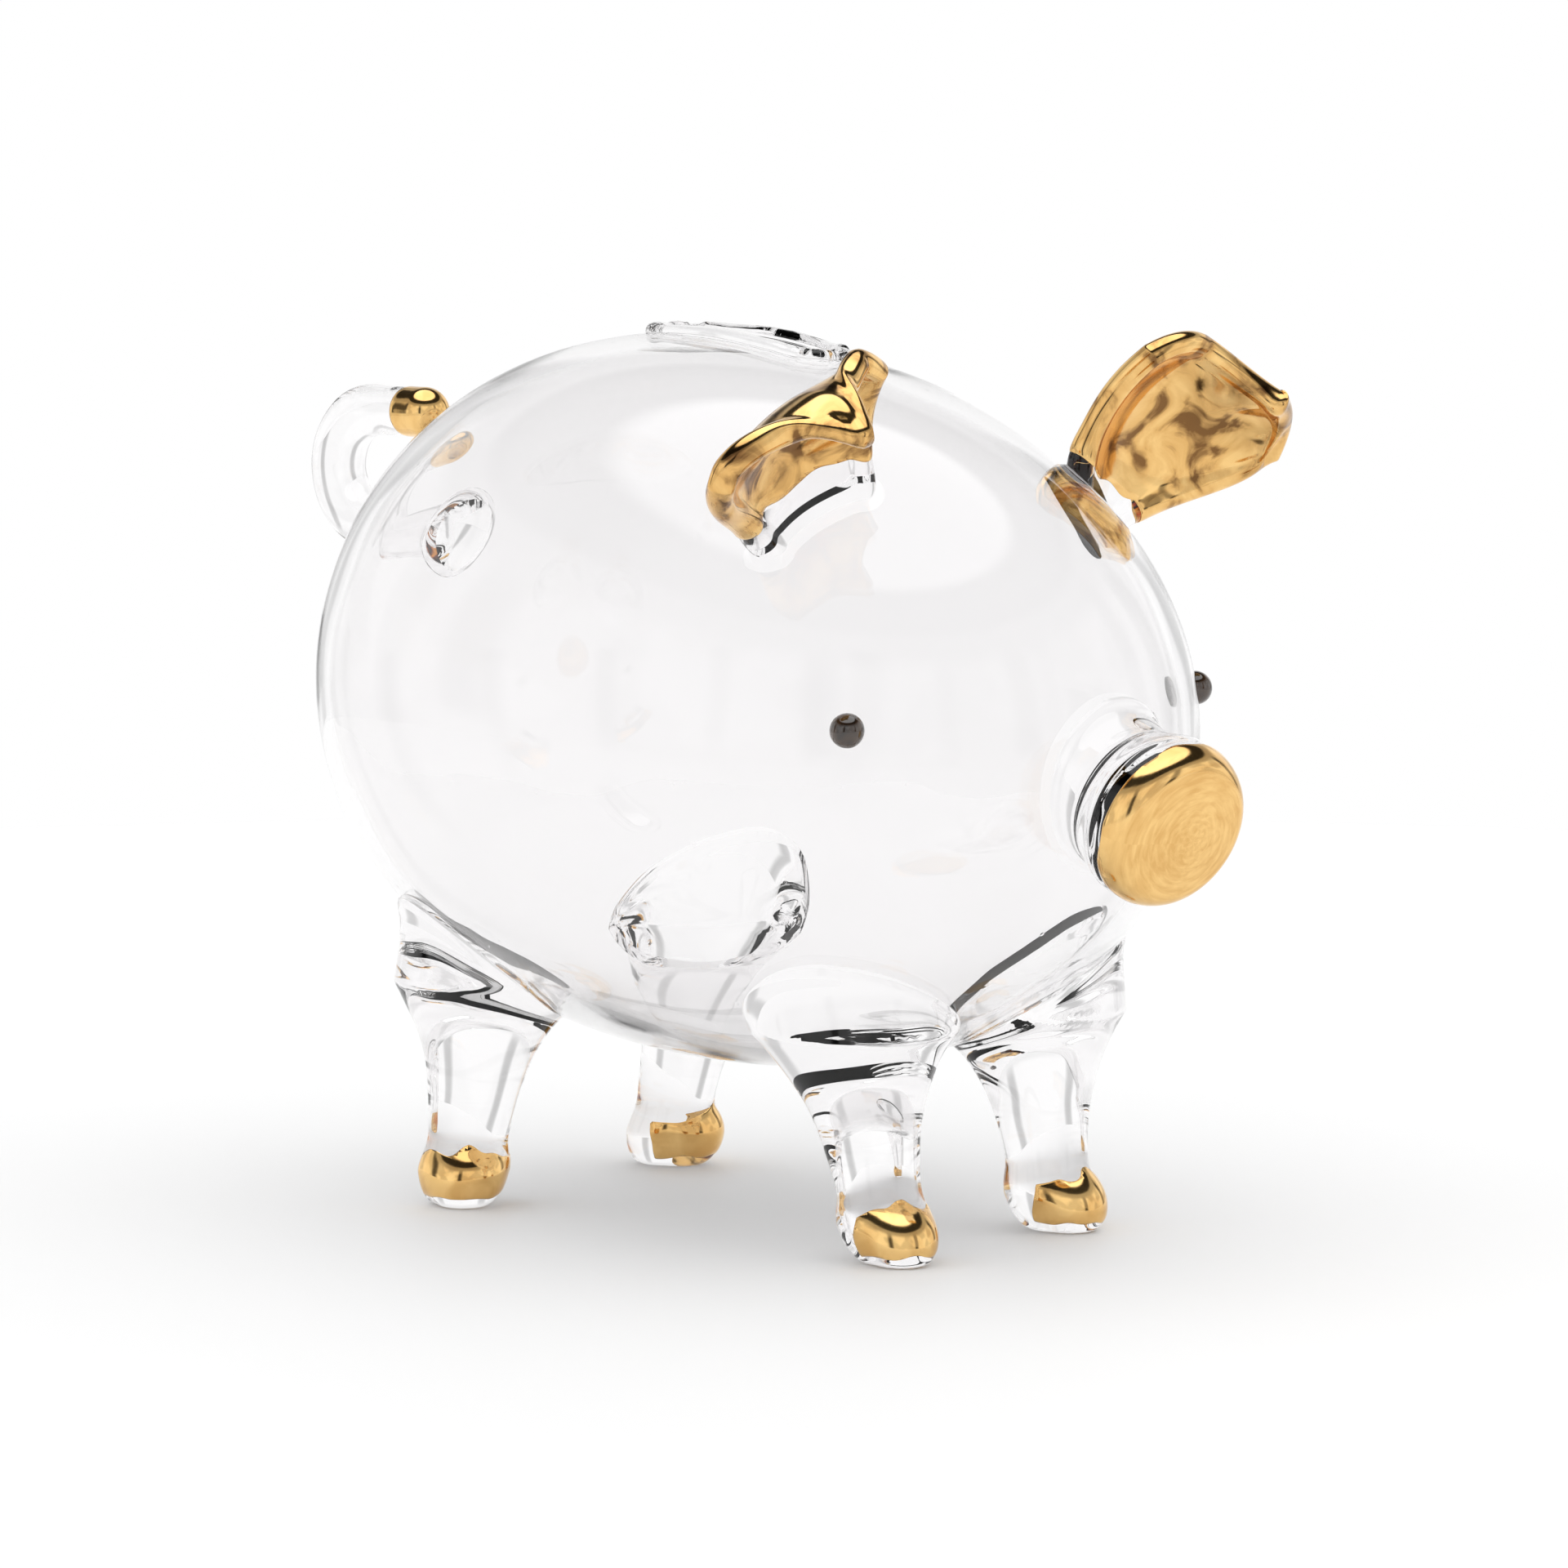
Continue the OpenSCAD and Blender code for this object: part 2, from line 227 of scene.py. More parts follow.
@dataclass
class EggRule:
    """The rule that gives the blown body its shape.

    A station runs from the nose to the rump and is held as its cosine c and sine s. The upright egg
    has its axis along Y; the finished one is turned nose-down about X and lifted to its centre.
    """

    diameter: Value = 95.0 * MM
    length: Value = 128.0 * MM
    taper: Value = 0.063
    fullness: Value = 0.148
    pitch: Value = math.radians(6.3)
    centre_y: Value = 0.0
    centre_z: Value = 67.5 * MM
    # Times that the station under a direction is worked out again
    rounds: int = 9

    def shape(self, c: Value) -> Value:
        """How far the outline departs from an ellipse at a station."""
        return 1.0 - self.taper * c + self.fullness * c * c

    def meet(self, x: Value, y: Value, z: Value) -> tuple[Triple, Triple]:
        """Finds where a ray from the egg's middle leaves the glass.

        Args:
            x: Sideways part of the direction, before the egg is turned.
            y: Part along the axis.
            z: Upward part.

        Returns:
            The point and its outward unit normal, both before the egg is turned.
        """
        half = self.diameter * 0.5
        pole = self.length * 0.5
        across = greater(root(x * x + z * z), 1e-7)
        reach = pole * across
        lean = -1.0 * y * half
        size = root(reach * reach + lean * lean)
        c = lean / size
        for _ in range(self.rounds):
            lean = -1.0 * y * half * self.shape(c)
            size = root(reach * reach + lean * lean)
            c = lean / size
        s = reach / size
        radius = half * s * self.shape(c)
        point = (x / across * radius, -1.0 * pole * c, z / across * radius)
        rise = pole * s
        swell = half * (c * self.shape(c) + s * s * (self.taper - 2.0 * self.fullness * c))
        norm = root(rise * rise + swell * swell)
        outward = rise / norm
        normal = (x / across * outward, -1.0 * swell / norm, z / across * outward)
        return point, normal

    def turn(self, x: Value, y: Value, z: Value) -> Triple:
        """Turns a vector of the upright egg nose-down."""
        c, s = cosine(self.pitch), sine(self.pitch)
        return x, y * c - z * s, y * s + z * c

    def seat(self, point: Triple) -> Triple:
        """Turns a point of the upright egg and lifts it to its place."""
        x, y, z = self.turn(*point)
        return x, y + self.centre_y, z + self.centre_z

    def upright(self, points: np.ndarray) -> np.ndarray:
        """Takes points in the part's frame back to the upright egg's.

        Args:
            points: Points in the part's frame.

        Returns:
            The points in the upright egg's frame.
        """
        y = points[..., 1] - self.centre_y
        z = points[..., 2] - self.centre_z
        c, s = math.cos(self.pitch), math.sin(self.pitch)
        return np.stack([points[..., 0], y * c + z * s, z * c - y * s], axis=-1)

    def cast(self, points: np.ndarray, lift: float = 0.0) -> np.ndarray:
        """Moves points along rays from the egg's middle onto the glass.

        Args:
            points: Points in the part's frame.
            lift: Distance outwards from the glass at which they end.

        Returns:
            The moved points.
        """
        local = self.upright(points)
        point, normal = self.meet(local[..., 0], local[..., 1], local[..., 2])
        lifted = tuple(p + lift * n for p, n in zip(point, normal))
        return np.stack(self.seat(lifted), axis=-1)

    def height(self, points: np.ndarray) -> np.ndarray:
        """Distance of points outside the glass.

        Args:
            points: Points in the part's frame.

        Returns:
            The distances, negative inside.
        """
        local = self.upright(points)
        point, normal = self.meet(local[..., 0], local[..., 1], local[..., 2])
        gap = local - np.stack(point, axis=-1)
        return np.sum(gap * np.stack(normal, axis=-1), axis=-1)

    def normals(self, points: np.ndarray) -> np.ndarray:
        """Outward unit normals of the glass.

        Args:
            points: Points in the part's frame.

        Returns:
            The normals under the points.
        """
        local = self.upright(points)
        _, normal = self.meet(local[..., 0], local[..., 1], local[..., 2])
        return np.stack(self.turn(*normal), axis=-1)

    def place(self, station: float, angle: float) -> np.ndarray:
        """A place on the glass.

        Args:
            station: Degrees from the nose (0) to the rump (180).
            angle: Degrees round the axis from the left side (0) over the top (90).

        Returns:
            The point in the part's frame.
        """
        c, s = math.cos(math.radians(station)), math.sin(math.radians(station))
        radius = self.diameter / 2 * s * self.shape(c)
        a = math.radians(angle)
        point = (radius * math.cos(a), -self.length / 2 * c, radius * math.sin(a))
        return np.array(self.seat(point))


def fit_egg() -> EggRule:
    """Sets the egg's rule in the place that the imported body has.

    Returns:
        The rule with its centre worked out from the body's box.
    """
    rule = EggRule()
    low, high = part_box("body_shell")
    around = np.linspace(0, 2 * math.pi, 361)
    ring = np.stack([np.zeros_like(around), np.cos(around), np.sin(around)], axis=-1)
    ring = rule.cast(ring + np.array([0, 0, rule.centre_z]))
    rule.centre_y = (low.y + high.y) / 2 - (ring[:, 1].min() + ring[:, 1].max()) / 2
    rule.centre_z += low.z - ring[:, 2].min()
    return rule


@dataclass
class SlotRule:
    """Coordinates round the coin slot: a distance out from its edge, and an angle round it."""

    egg: EggRule
    length: Value = 28.0 * MM
    width: Value = 5.0 * MM
    # Tilt of the slot's middle behind the egg's middle, as its place along the back gives
    lean: float = math.radians(8.0)
    # Radius that turns a distance along the glass into an angle at the egg's middle
    reach: float = 49.0 * MM
    # Distance over which the slot's outline eases into a circle
    ease: float = 60.0 * MM
    # How soon the round ends of the slot take over from its straight sides
    ends: float = 4.0

    @property
    def farthest(self) -> Value:
        """Distance from the slot's edge to the point under the belly opposite it."""
        return math.pi * self.reach - 0.5 * self.width

    def spot(self, out: Value, around: Value) -> tuple[Triple, Triple]:
        """Finds the glass at a distance from the slot.

        Args:
            out: Distance out from the slot's edge.
            around: Angle round the slot, in radians.

        Returns:
            The point and the normal, before the egg is turned.
        """
        c, s = cosine(around), sine(around)
        flat = greater(smaller(s * self.ends, 1.0), -1.0)
        share = sine(flat * (math.pi / 2))
        fade = 1.0 - smooth_step(out / self.ease)
        half = self.width * 0.5 + out
        across = half * c
        along = half * s + (self.length - self.width) * 0.5 * fade * share
        size = greater(root(across * across + along * along), 1e-7)
        angle = size / self.reach
        up, side = cosine(angle), sine(angle) / size
        k, j = math.cos(self.lean), math.sin(self.lean)
        x = side * across
        y = side * along * k + up * j
        z = up * k - side * along * j
        return self.egg.meet(x, y, z)


# ---- Meshes


@dataclass
class Form:
    """A mesh being made: its points, its faces, and the faces that lie on other glass."""

    points: np.ndarray
    faces: list[tuple[int, ...]]
    contact: set[int] = field(default_factory=set)

    def add(self, other: Form) -> None:
        """Adds another form's points and faces to this one.

        Args:
            other: The form to add.
        """
        shift = len(self.points)
        start = len(self.faces)
        self.points = np.vstack([self.points, other.points])
        self.faces += [tuple(i + shift for i in face) for face in other.faces]
        self.contact |= {start + f for f in other.contact}

    def mirrored(self) -> Form:
        """The form on the other side of the pig."""
        faces = [tuple(reversed(face)) for face in self.faces]
        return Form(self.points * Side.RIGHT.flip, faces, set(self.contact))


def grid_faces(rows: int, columns: int, closed: bool = True) -> list[tuple[int, ...]]:
    """Faces of a grid of points held row by row.

    Args:
        rows: Number of rows.
        columns: Number of points in a row.
        closed: Whether the last column joins the first.

    Returns:
        One quad for each cell.
    """
    last = columns if closed else columns - 1
    faces = []
    for i in range(rows - 1):
        for j in range(last):
            k = (j + 1) % columns
            a, b = i * columns, (i + 1) * columns
            faces.append((a + j, a + k, b + k, b + j))
    return faces


def fan(rows: Sequence[np.ndarray], tip: np.ndarray) -> Form:
    """Joins rings of points into a skin that ends in a point.

    Args:
        rows: The rings, from the rim inwards.
        tip: The point that the last ring closes on.

    Returns:
        The skin.
    """
    count = len(rows[0])
    start = (len(rows) - 1) * count
    faces = grid_faces(len(rows), count)
    faces += [(start + j, start + (j + 1) % count, start + count) for j in range(count)]
    return Form(np.vstack([*rows, tip]), faces)


def cap_on_egg(egg: EggRule, loop: np.ndarray, rings: int = 12) -> Form:
    """Closes a loop that lies on the glass with a skin that follows the glass.

    Args:
        egg: The body's rule.
        loop: The loop's points.
        rings: Number of rings between the loop and its middle.

    Returns:
        The cap, all of it contact.
    """
    middle = loop.mean(axis=0)
    rows = [egg.cast(middle + (loop - middle) * (1 - i / rings), SEAM_GAP) for i in range(rings)]
    rows[0] = loop
    cap = fan(rows, egg.cast(middle[None], SEAM_GAP))
    cap.contact = set(range(len(cap.faces)))
    return cap


def wobble(points: np.ndarray, size: float, seed: float) -> np.ndarray:
    """Smooth seeded unevenness at points.

    Args:
        points: Points in metres.
        size: Length over which it changes.
        seed: Shift that picks one pattern.

    Returns:
        A value from about -1 to 1 for each point.
    """
    shift = Vector((seed, seed * 0.7, seed * 1.3))
    found = [noise.noise(Vector(p) / size + shift) for p in points.reshape(-1, 3)]
    return np.array(found).reshape(points.shape[:-1]) * 1.6


class Piece:
    """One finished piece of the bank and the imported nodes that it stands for."""

    def __init__(self, name: str, mesh: bpy.types.Mesh, slot: str, nodes: Sequence[str]) -> None:
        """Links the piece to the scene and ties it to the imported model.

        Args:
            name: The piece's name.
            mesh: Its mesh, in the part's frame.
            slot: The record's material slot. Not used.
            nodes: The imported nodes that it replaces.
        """
        mesh.name = name
        self.object = bpy.data.objects.new(name, mesh)
        bpy.context.scene.collection.objects.link(self.object)
        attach(self.object, ROOT)
        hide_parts(*nodes)

    def report(self) -> None:
        """Logs the piece's name, its faces and its open edges."""
        bm = bmesh.new()
        bm.from_mesh(self.object.data)
        loose = sum(not edge.is_manifold for edge in bm.edges)
        volume = bm.calc_volume(signed=True) * 1e9
        told = (self.object.name, len(bm.faces), loose, volume)
        LOG.info("%s: %d faces, %d open edges, %.0f mm3", *told)
        bm.free()


def face_out(bm: bmesh.types.BMesh) -> None:
    """Turns a closed mesh's faces outwards.

    Args:
        bm: The mesh, changed in place.
    """
    bmesh.ops.recalc_face_normals(bm, faces=bm.faces)
    if bm.calc_volume(signed=True) < 0:
        bmesh.ops.reverse_faces(bm, faces=bm.faces)


def to_mesh(
    form: Form, materials: Sequence[bpy.types.Material], merge: float = 1e-7
) -> bpy.types.Mesh:
    """Turns a form into a closed smooth mesh whose faces point outwards.

    Args:
        form: The form.
        materials: The glass and, where the form has contact faces, the fused joint.
        merge: Distance under which points become one.

    Returns:
        The mesh.
    """
    mesh = bpy.data.meshes.new("form")
    mesh.from_pydata(form.points.tolist(), [], form.faces)
    for material in materials:
        mesh.materials.append(material)
    for index in form.contact:
        mesh.polygons[index].material_index = len(materials) - 1
    bm = bmesh.new()
    bm.from_mesh(mesh)
    bmesh.ops.remove_doubles(bm, verts=bm.verts, dist=merge)
    face_out(bm)
    for face in bm.faces:
        face.smooth = True
    for edge in bm.edges:
        kinds = {face.material_index for face in edge.link_faces}
        edge.smooth = len(kinds) < 2
    bm.to_mesh(mesh)
    bm.free()
    return mesh


def mesh_points(mesh: bpy.types.Mesh) -> np.ndarray:
    """A mesh's points.

    Args:
        mesh: The mesh.

    Returns:
        An array with a row for each point.
    """
    found = np.empty(len(mesh.vertices) * 3)
    mesh.vertices.foreach_get("co", found)
    return found.reshape(-1, 3)


def store(mesh: bpy.types.Mesh, name: str, values: np.ndarray) -> None:
    """Keeps one number for each point of a mesh as an attribute."""
    attribute = mesh.attributes.get(name) or mesh.attributes.new(name, "FLOAT", "POINT")
    attribute.data.foreach_set("value", values.astype(np.float32))


def inside_loop(points: np.ndarray, loop: np.ndarray, normal: np.ndarray) -> np.ndarray:
    """Signed distance of points from a loop, seen along a normal.

    Args:
        points: The points.
        loop: The loop's points.
        normal: The direction to look along.

    Returns:
        Distances, negative inside the loop.
    """
    side = np.cross(normal, [0.0, 0.3, 1.0])
    side /= np.linalg.norm(side)
    other = np.cross(normal, side)
    flat = np.stack([points @ side, points @ other], axis=-1)
    start = np.stack([loop @ side, loop @ other], axis=-1)
    end = np.roll(start, -1, axis=0)
    run = end - start
    gap = flat[:, None] - start[None]
    share = np.clip((gap * run).sum(-1) / np.maximum((run * run).sum(-1), 1e-16), 0, 1)
    distance = np.linalg.norm(gap - share[..., None] * run, axis=-1).min(axis=1)
    above = (start[None, :, 1] > flat[:, None, 1]) != (end[None, :, 1] > flat[:, None, 1])
    slope = run[:, 0] / np.where(np.abs(run[:, 1]) < 1e-15, 1e-15, run[:, 1])
    cross = start[None, :, 0] + (flat[:, None, 1] - start[None, :, 1]) * slope[None]
    crossings = (above & (flat[:, None, 0] < cross)).sum(axis=1)
    return np.where(crossings % 2 == 1, -distance, distance)


@dataclass
class Footprint:
    """The outline of a contact with the body, and of the open middle that it may have."""

    outer: np.ndarray
    inner: np.ndarray | None = None
    # How much farther the melted wall reaches on the inside of the body
    melt: float = 0.0

    def mark(self, egg: EggRule, points: np.ndarray, wall: float, fused: np.ndarray) -> None:
        """Lowers the fused marks of the points that the contact covers.

        Outside, the mark ends at the contact's edge. Inside, it reaches farther by the melt.

        Args:
            egg: The body's rule.
            points: The body's points.
            wall: The body's thickness.
            fused: Their marks, changed in place.
        """
        middle = self.outer.mean(axis=0)
        normal = egg.normals(middle[None])[0]
        reach = np.linalg.norm(self.outer - middle, axis=1).max() + MARK_REACH
        near = np.linalg.norm(points - middle, axis=1) < reach
        found = inside_loop(points[near], self.outer, normal)
        depth = -egg.height(points[near]) / wall
        if self.inner is not None:
            ring = np.maximum(found, -inside_loop(points[near], self.inner, normal))
            found = np.where(depth > 0.3, np.where(depth > 0.8, found, UNMARKED), ring)
        found = np.where(depth > 0.6, found - self.melt, found)
        fused[near] = np.minimum(fused[near], found)


@dataclass
class Lustre:
    """A skin of gold over part of a glass piece, with a brushed-on edge."""

    thickness: float = 0.12 * MM
    lift: float = 0.03 * MM
    feather: float = 0.5 * MM

    def over(
        self, glass: bpy.types.Mesh, cover: np.ndarray, material: bpy.types.Material
    ) -> bpy.types.Mesh:
        """Makes the skin, and marks the glass under it as fused.

        Args:
            glass: The glass piece's mesh.
            cover: For each of its points, metres inside the gold's edge, negative outside.
            material: The gold.

        Returns:
            The skin's closed mesh.
        """
        old = np.ones(len(cover))
        if FUSED in glass.attributes:
            glass.attributes[FUSED].data.foreach_get("value", old)
        store(glass, FUSED, np.minimum(old, -cover))
        bm = bmesh.new()
        bm.from_mesh(glass)
        contact = [f for f in bm.faces if f.material_index > 0]
        layer = bm.verts.layers.float.new("cover")
        for vert, value in zip(bm.verts, cover):
            vert[layer] = value if abs(value) > 1e-9 else 1e-9
        bm.normal_update()
        self.cut(bm, layer)
        gone = [f for f in bm.faces if sum(v[layer] for v in f.verts) <= 0]
        gone += [f for f in contact if f.is_valid and f not in gone]
        bmesh.ops.delete(bm, geom=list(set(gone)), context="FACES")
        bm.verts.index_update()
        base = np.array([v.co for v in bm.verts])
        normals = np.array([v.normal for v in bm.verts])
        depth = np.array([v[layer] for v in bm.verts])
        rise = self.thickness * (0.25 + 0.75 * np.clip(depth / self.feather, 0, 1))
        outer = base + normals * (self.lift + rise)[:, None]
        inner = base + normals * self.lift
        count = len(base)
        faces = [tuple(v.index for v in f.verts) for f in bm.faces]
        closed = faces + [tuple(reversed([i + count for i in f])) for f in faces]
        for edge in bm.edges:
            if len(edge.link_faces) == 1:
                corner = edge.link_loops[0]
                a, b = corner.vert.index, corner.link_loop_next.vert.index
                closed.append((b, a, a + count, b + count))
        bm.free()
        return to_mesh(Form(np.vstack([outer, inner]), closed), [material], merge=1e-9)

    @staticmethod
    def cut(bm: bmesh.types.BMesh, layer: bmesh.types.BMLayerItem) -> None:
        """Splits the faces along the line where the layer is zero.

        Args:
            bm: The mesh, changed in place.
            layer: The layer that holds the cover.
        """
        fresh = set()
        for edge in list(bm.edges):
            a, b = edge.verts
            if a[layer] * b[layer] < 0:
                share = a[layer] / (a[layer] - b[layer])
                normal = a.normal.lerp(b.normal, share)
                _, vert = bmesh.utils.edge_split(edge, a, share)
                vert[layer] = 0.0
                vert.normal = normal.normalized()
                fresh.add(vert)
        for face in list(bm.faces):
            found = [v for v in face.verts if v in fresh]
            if len(found) == 2:
                bmesh.utils.face_split(face, found[0], found[1])


# ---- Finishes


Colour = tuple[float, float, float]


class Board:
    """Adds nodes to one tree."""

    def __init__(self, tree: bpy.types.NodeTree) -> None:
        """Takes the tree that the nodes go into."""
        self.tree = tree

    def node(
        self, kind: str, inputs: dict[str, object] | None = None, **settings: object
    ) -> bpy.types.Node:
        """Adds a node.

        Args:
            kind: The node's type.
            inputs: Values, sockets or fields for its named inputs.
            settings: Values for its properties.

        Returns:
            The node.
        """
        made = self.tree.nodes.new(kind)
        for name, value in settings.items():
            setattr(made, name, value)
        for name, value in (inputs or {}).items():
            self.feed(made.inputs[name], value)
        return made

    def feed(self, socket: bpy.types.NodeSocket, value: object) -> None:
        """Links a socket or a field to an input, or sets its value.

        Args:
            socket: The input.
            value: The socket, field or constant that it gets.
        """
        if isinstance(value, Field):
            value = value.socket
        if isinstance(value, bpy.types.NodeSocket):
            self.tree.links.new(value, socket)
        else:
            socket.default_value = value

    def field(self, socket: bpy.types.NodeSocket) -> Field:
        """The number that a socket carries."""
        return Field(self.tree, socket)

    def noise(
        self, vector: object, scale: float, detail: float = 2.0, distortion: float = 0.0
    ) -> Field:
        """A noise pattern.

        Args:
            vector: The coordinates.
            scale: The pattern's scale.
            detail: Number of finer layers.
            distortion: How far the pattern is bent.

        Returns:
            The pattern, from 0 to 1.
        """
        made = self.node(
            "ShaderNodeTexNoise",
            {"Vector": vector, "Scale": scale, "Detail": detail, "Distortion": distortion},
        )
        return self.field(made.outputs["Fac"])

    def ramp(self, value: Field, stops: Iterable[tuple[float, Colour]]) -> bpy.types.NodeSocket:
        """A colour ramp over a value.

        Args:
            value: The value, from 0 to 1.
            stops: Places and colours.

        Returns:
            The colour's socket.
        """
        made = self.node("ShaderNodeValToRGB", {"Fac": value})
        elements = made.color_ramp.elements
        for index, (place, colour) in enumerate(stops):
            element = elements[index] if index < 2 else elements.new(place)
            element.position = place
            element.color = (*colour, 1.0)
        return made.outputs["Color"]


def surface(board: Board, output: bpy.types.Node, shader: bpy.types.Node) -> None:
    """Ends a tree in a shader."""
    board.feed(output.inputs["Surface"], shader.outputs[0])


def new_material(name: str) -> tuple[bpy.types.Material, Board, bpy.types.Node]:
    """Makes an empty material.

    Args:
        name: The material's name.

    Returns:
        The material, its board and its output node.
    """
    material = bpy.data.materials.new(name)
    material.use_nodes = True
    material.node_tree.nodes.clear()
    board = Board(material.node_tree)
    return material, board, board.node("ShaderNodeOutputMaterial")


@dataclass(frozen=True)
class ClearGlass:
    """Fire-polished clear glass, with the soft waves of hand work and a few fine seeds."""

    name: str = "clear_glass"
    tint: Colour = (0.945, 0.938, 0.941)
    ior: float = 1.48
    ripple: float = 0.05

    def material(self) -> bpy.types.Material:
        """Builds the material.

        Returns:
            The material.
        """
        material, board, output = new_material(self.name)
        place = board.node("ShaderNodeTexCoord").outputs["Object"]
        smear = board.noise(place, 60.0, 3.0, 0.6)
        rough = smear * smear * 0.03
        waves = board.noise(place, 90.0, 1.0)
        seeds = board.node("ShaderNodeTexVoronoi", {"Vector": place, "Scale": 260.0})
        specks = 1.0 - smooth_step(board.field(seeds.outputs["Distance"]) * 9.0)
        bump = board.node(
            "ShaderNodeBump",
            {"Height": waves + specks * 0.15, "Strength": self.ripple, "Distance": 0.4 * MM},
        )
        glass = board.node(
            "ShaderNodeBsdfPrincipled",
            {
                "Base Color": (*self.tint, 1.0),
                "Roughness": rough,
                "IOR": self.ior,
                "Transmission Weight": 1.0,
                "Normal": bump.outputs["Normal"],
            },
        )
        joint = board.node("ShaderNodeBsdfTransparent")
        mark = board.node("ShaderNodeAttribute", attribute_name=FUSED)
        fused = board.field(mark.outputs["Fac"]).math("LESS_THAN", 0.0)
        mixed = board.node("ShaderNodeMixShader", {"Fac": fused})
        board.feed(mixed.inputs[1], glass.outputs[0])
        board.feed(mixed.inputs[2], joint.outputs[0])
        surface(board, output, mixed)
        return material


@dataclass(frozen=True)
class FusedJoint:
    """The face where two glass pieces are fused, which light passes unchanged."""

    name: str = "fused_joint"

    def material(self) -> bpy.types.Material:
        """Builds the material.

        Returns:
            The material.
        """
        material, board, output = new_material(self.name)
        joint = board.node("ShaderNodeBsdfTransparent")
        surface(board, output, joint)
        return material


class Stroke(Enum):
    """How the lustre was brushed on."""

    SWIRL = "swirl"
    MOTTLED = "mottled"
    SMOOTH = "smooth"


@dataclass(frozen=True)
class GoldLustre:
    """Bright fired gold, with the brush strokes and thin patches that show in it."""

    name: str
    stroke: Stroke
    bright: Colour = (0.90, 0.59, 0.235)
    deep: Colour = (0.74, 0.44, 0.155)
    thin: Colour = (0.22, 0.11, 0.04)
    roughness: float = 0.07
    centre: tuple[float, float, float] = (0.0, 0.0, 0.0)
    turn: tuple[float, float, float] = (0.0, 0.0, 0.0)

    def strokes(self, board: Board, place: bpy.types.NodeSocket) -> Field:
        """The pattern of the brush, from 0 to 1.

        Args:
            board: The material's board.
            place: Object coordinates.

        Returns:
            The pattern.
        """
        if self.stroke is Stroke.SWIRL:
            local = board.node(
                "ShaderNodeMapping",
                {"Vector": place, "Location": self.centre, "Rotation": self.turn},
                vector_type="TEXTURE",
            )
            parts = board.node("ShaderNodeSeparateXYZ", {"Vector": local.outputs[0]})
            x, y = board.field(parts.outputs["X"]), board.field(parts.outputs["Y"])
            away = root(x * x + y * y)
            polar = board.node(
                "ShaderNodeCombineXYZ", {"X": away * 1500.0, "Y": y.math("ARCTAN2", x) * 2.2}
            )
            streaks = board.noise(polar.outputs[0], 1.0, 4.0, 0.5)
            return streaks * 0.6 + board.noise(place, 160.0, 4.0, 1.0) * 0.4
        if self.stroke is Stroke.MOTTLED:
            return board.noise(place, 140.0, 5.0, 1.2)
        return board.noise(place, 240.0, 3.0, 0.4)

    def material(self) -> bpy.types.Material:
        """Builds the material.

        Returns:
            The material.
        """
        material, board, output = new_material(self.name)
        place = board.node("ShaderNodeTexCoord").outputs["Object"]
        pattern = self.strokes(board, place)
        stops = [(0.38, self.deep), (0.62, self.bright)]
        if self.stroke is Stroke.MOTTLED:
            stops = [(0.36, self.thin), (0.62, self.bright), (0.46, self.deep)]
        colour = board.ramp(pattern, stops)
        rough = self.roughness + pattern * 0.06
        fine = board.noise(place, 900.0, 2.0)
        bump = board.node(
            "ShaderNodeBump",
            {"Height": pattern + fine * 0.25, "Strength": 0.12, "Distance": 0.15 * MM},
        )
        gold = board.node(
            "ShaderNodeBsdfPrincipled",
            {
                "Base Color": colour,
                "Metallic": 1.0,
                "Roughness": rough,
                "Normal": bump.outputs["Normal"],
            },
        )
        surface(board, output, gold)
        return material


@dataclass(frozen=True)
class DarkBead:
    """Dark brown glass under a clear polish."""

    name: str = "dark_bead"

    def material(self) -> bpy.types.Material:
        """Builds the material.

        Returns:
            The material.
        """
        material, board, output = new_material(self.name)
        place = board.node("ShaderNodeTexCoord").outputs["Object"]
        cloud = board.noise(place, 500.0, 3.0, 0.8)
        colour = board.ramp(cloud, [(0.3, (0.010, 0.006, 0.004)), (0.75, (0.07, 0.035, 0.015))])
        rough = 0.03 + board.noise(place, 300.0) * 0.05
        bead = board.node(
            "ShaderNodeBsdfPrincipled",
            {
                "Base Color": colour,
                "Roughness": rough,
                "IOR": 1.6,
                "Coat Weight": 0.6,
                "Coat Roughness": 0.02,
            },
        )
        surface(board, output, bead)
        return material


@dataclass
class Palette:
    """The finishes of the bank, built once."""

    glass: bpy.types.Material
    joint: bpy.types.Material
    bead: bpy.types.Material

    @classmethod
    def build(cls) -> Palette:
        """Builds the finishes that more than one piece shares."""
        return cls(ClearGlass().material(), FusedJoint().material(), DarkBead().material())


# ---- Geometry Nodes


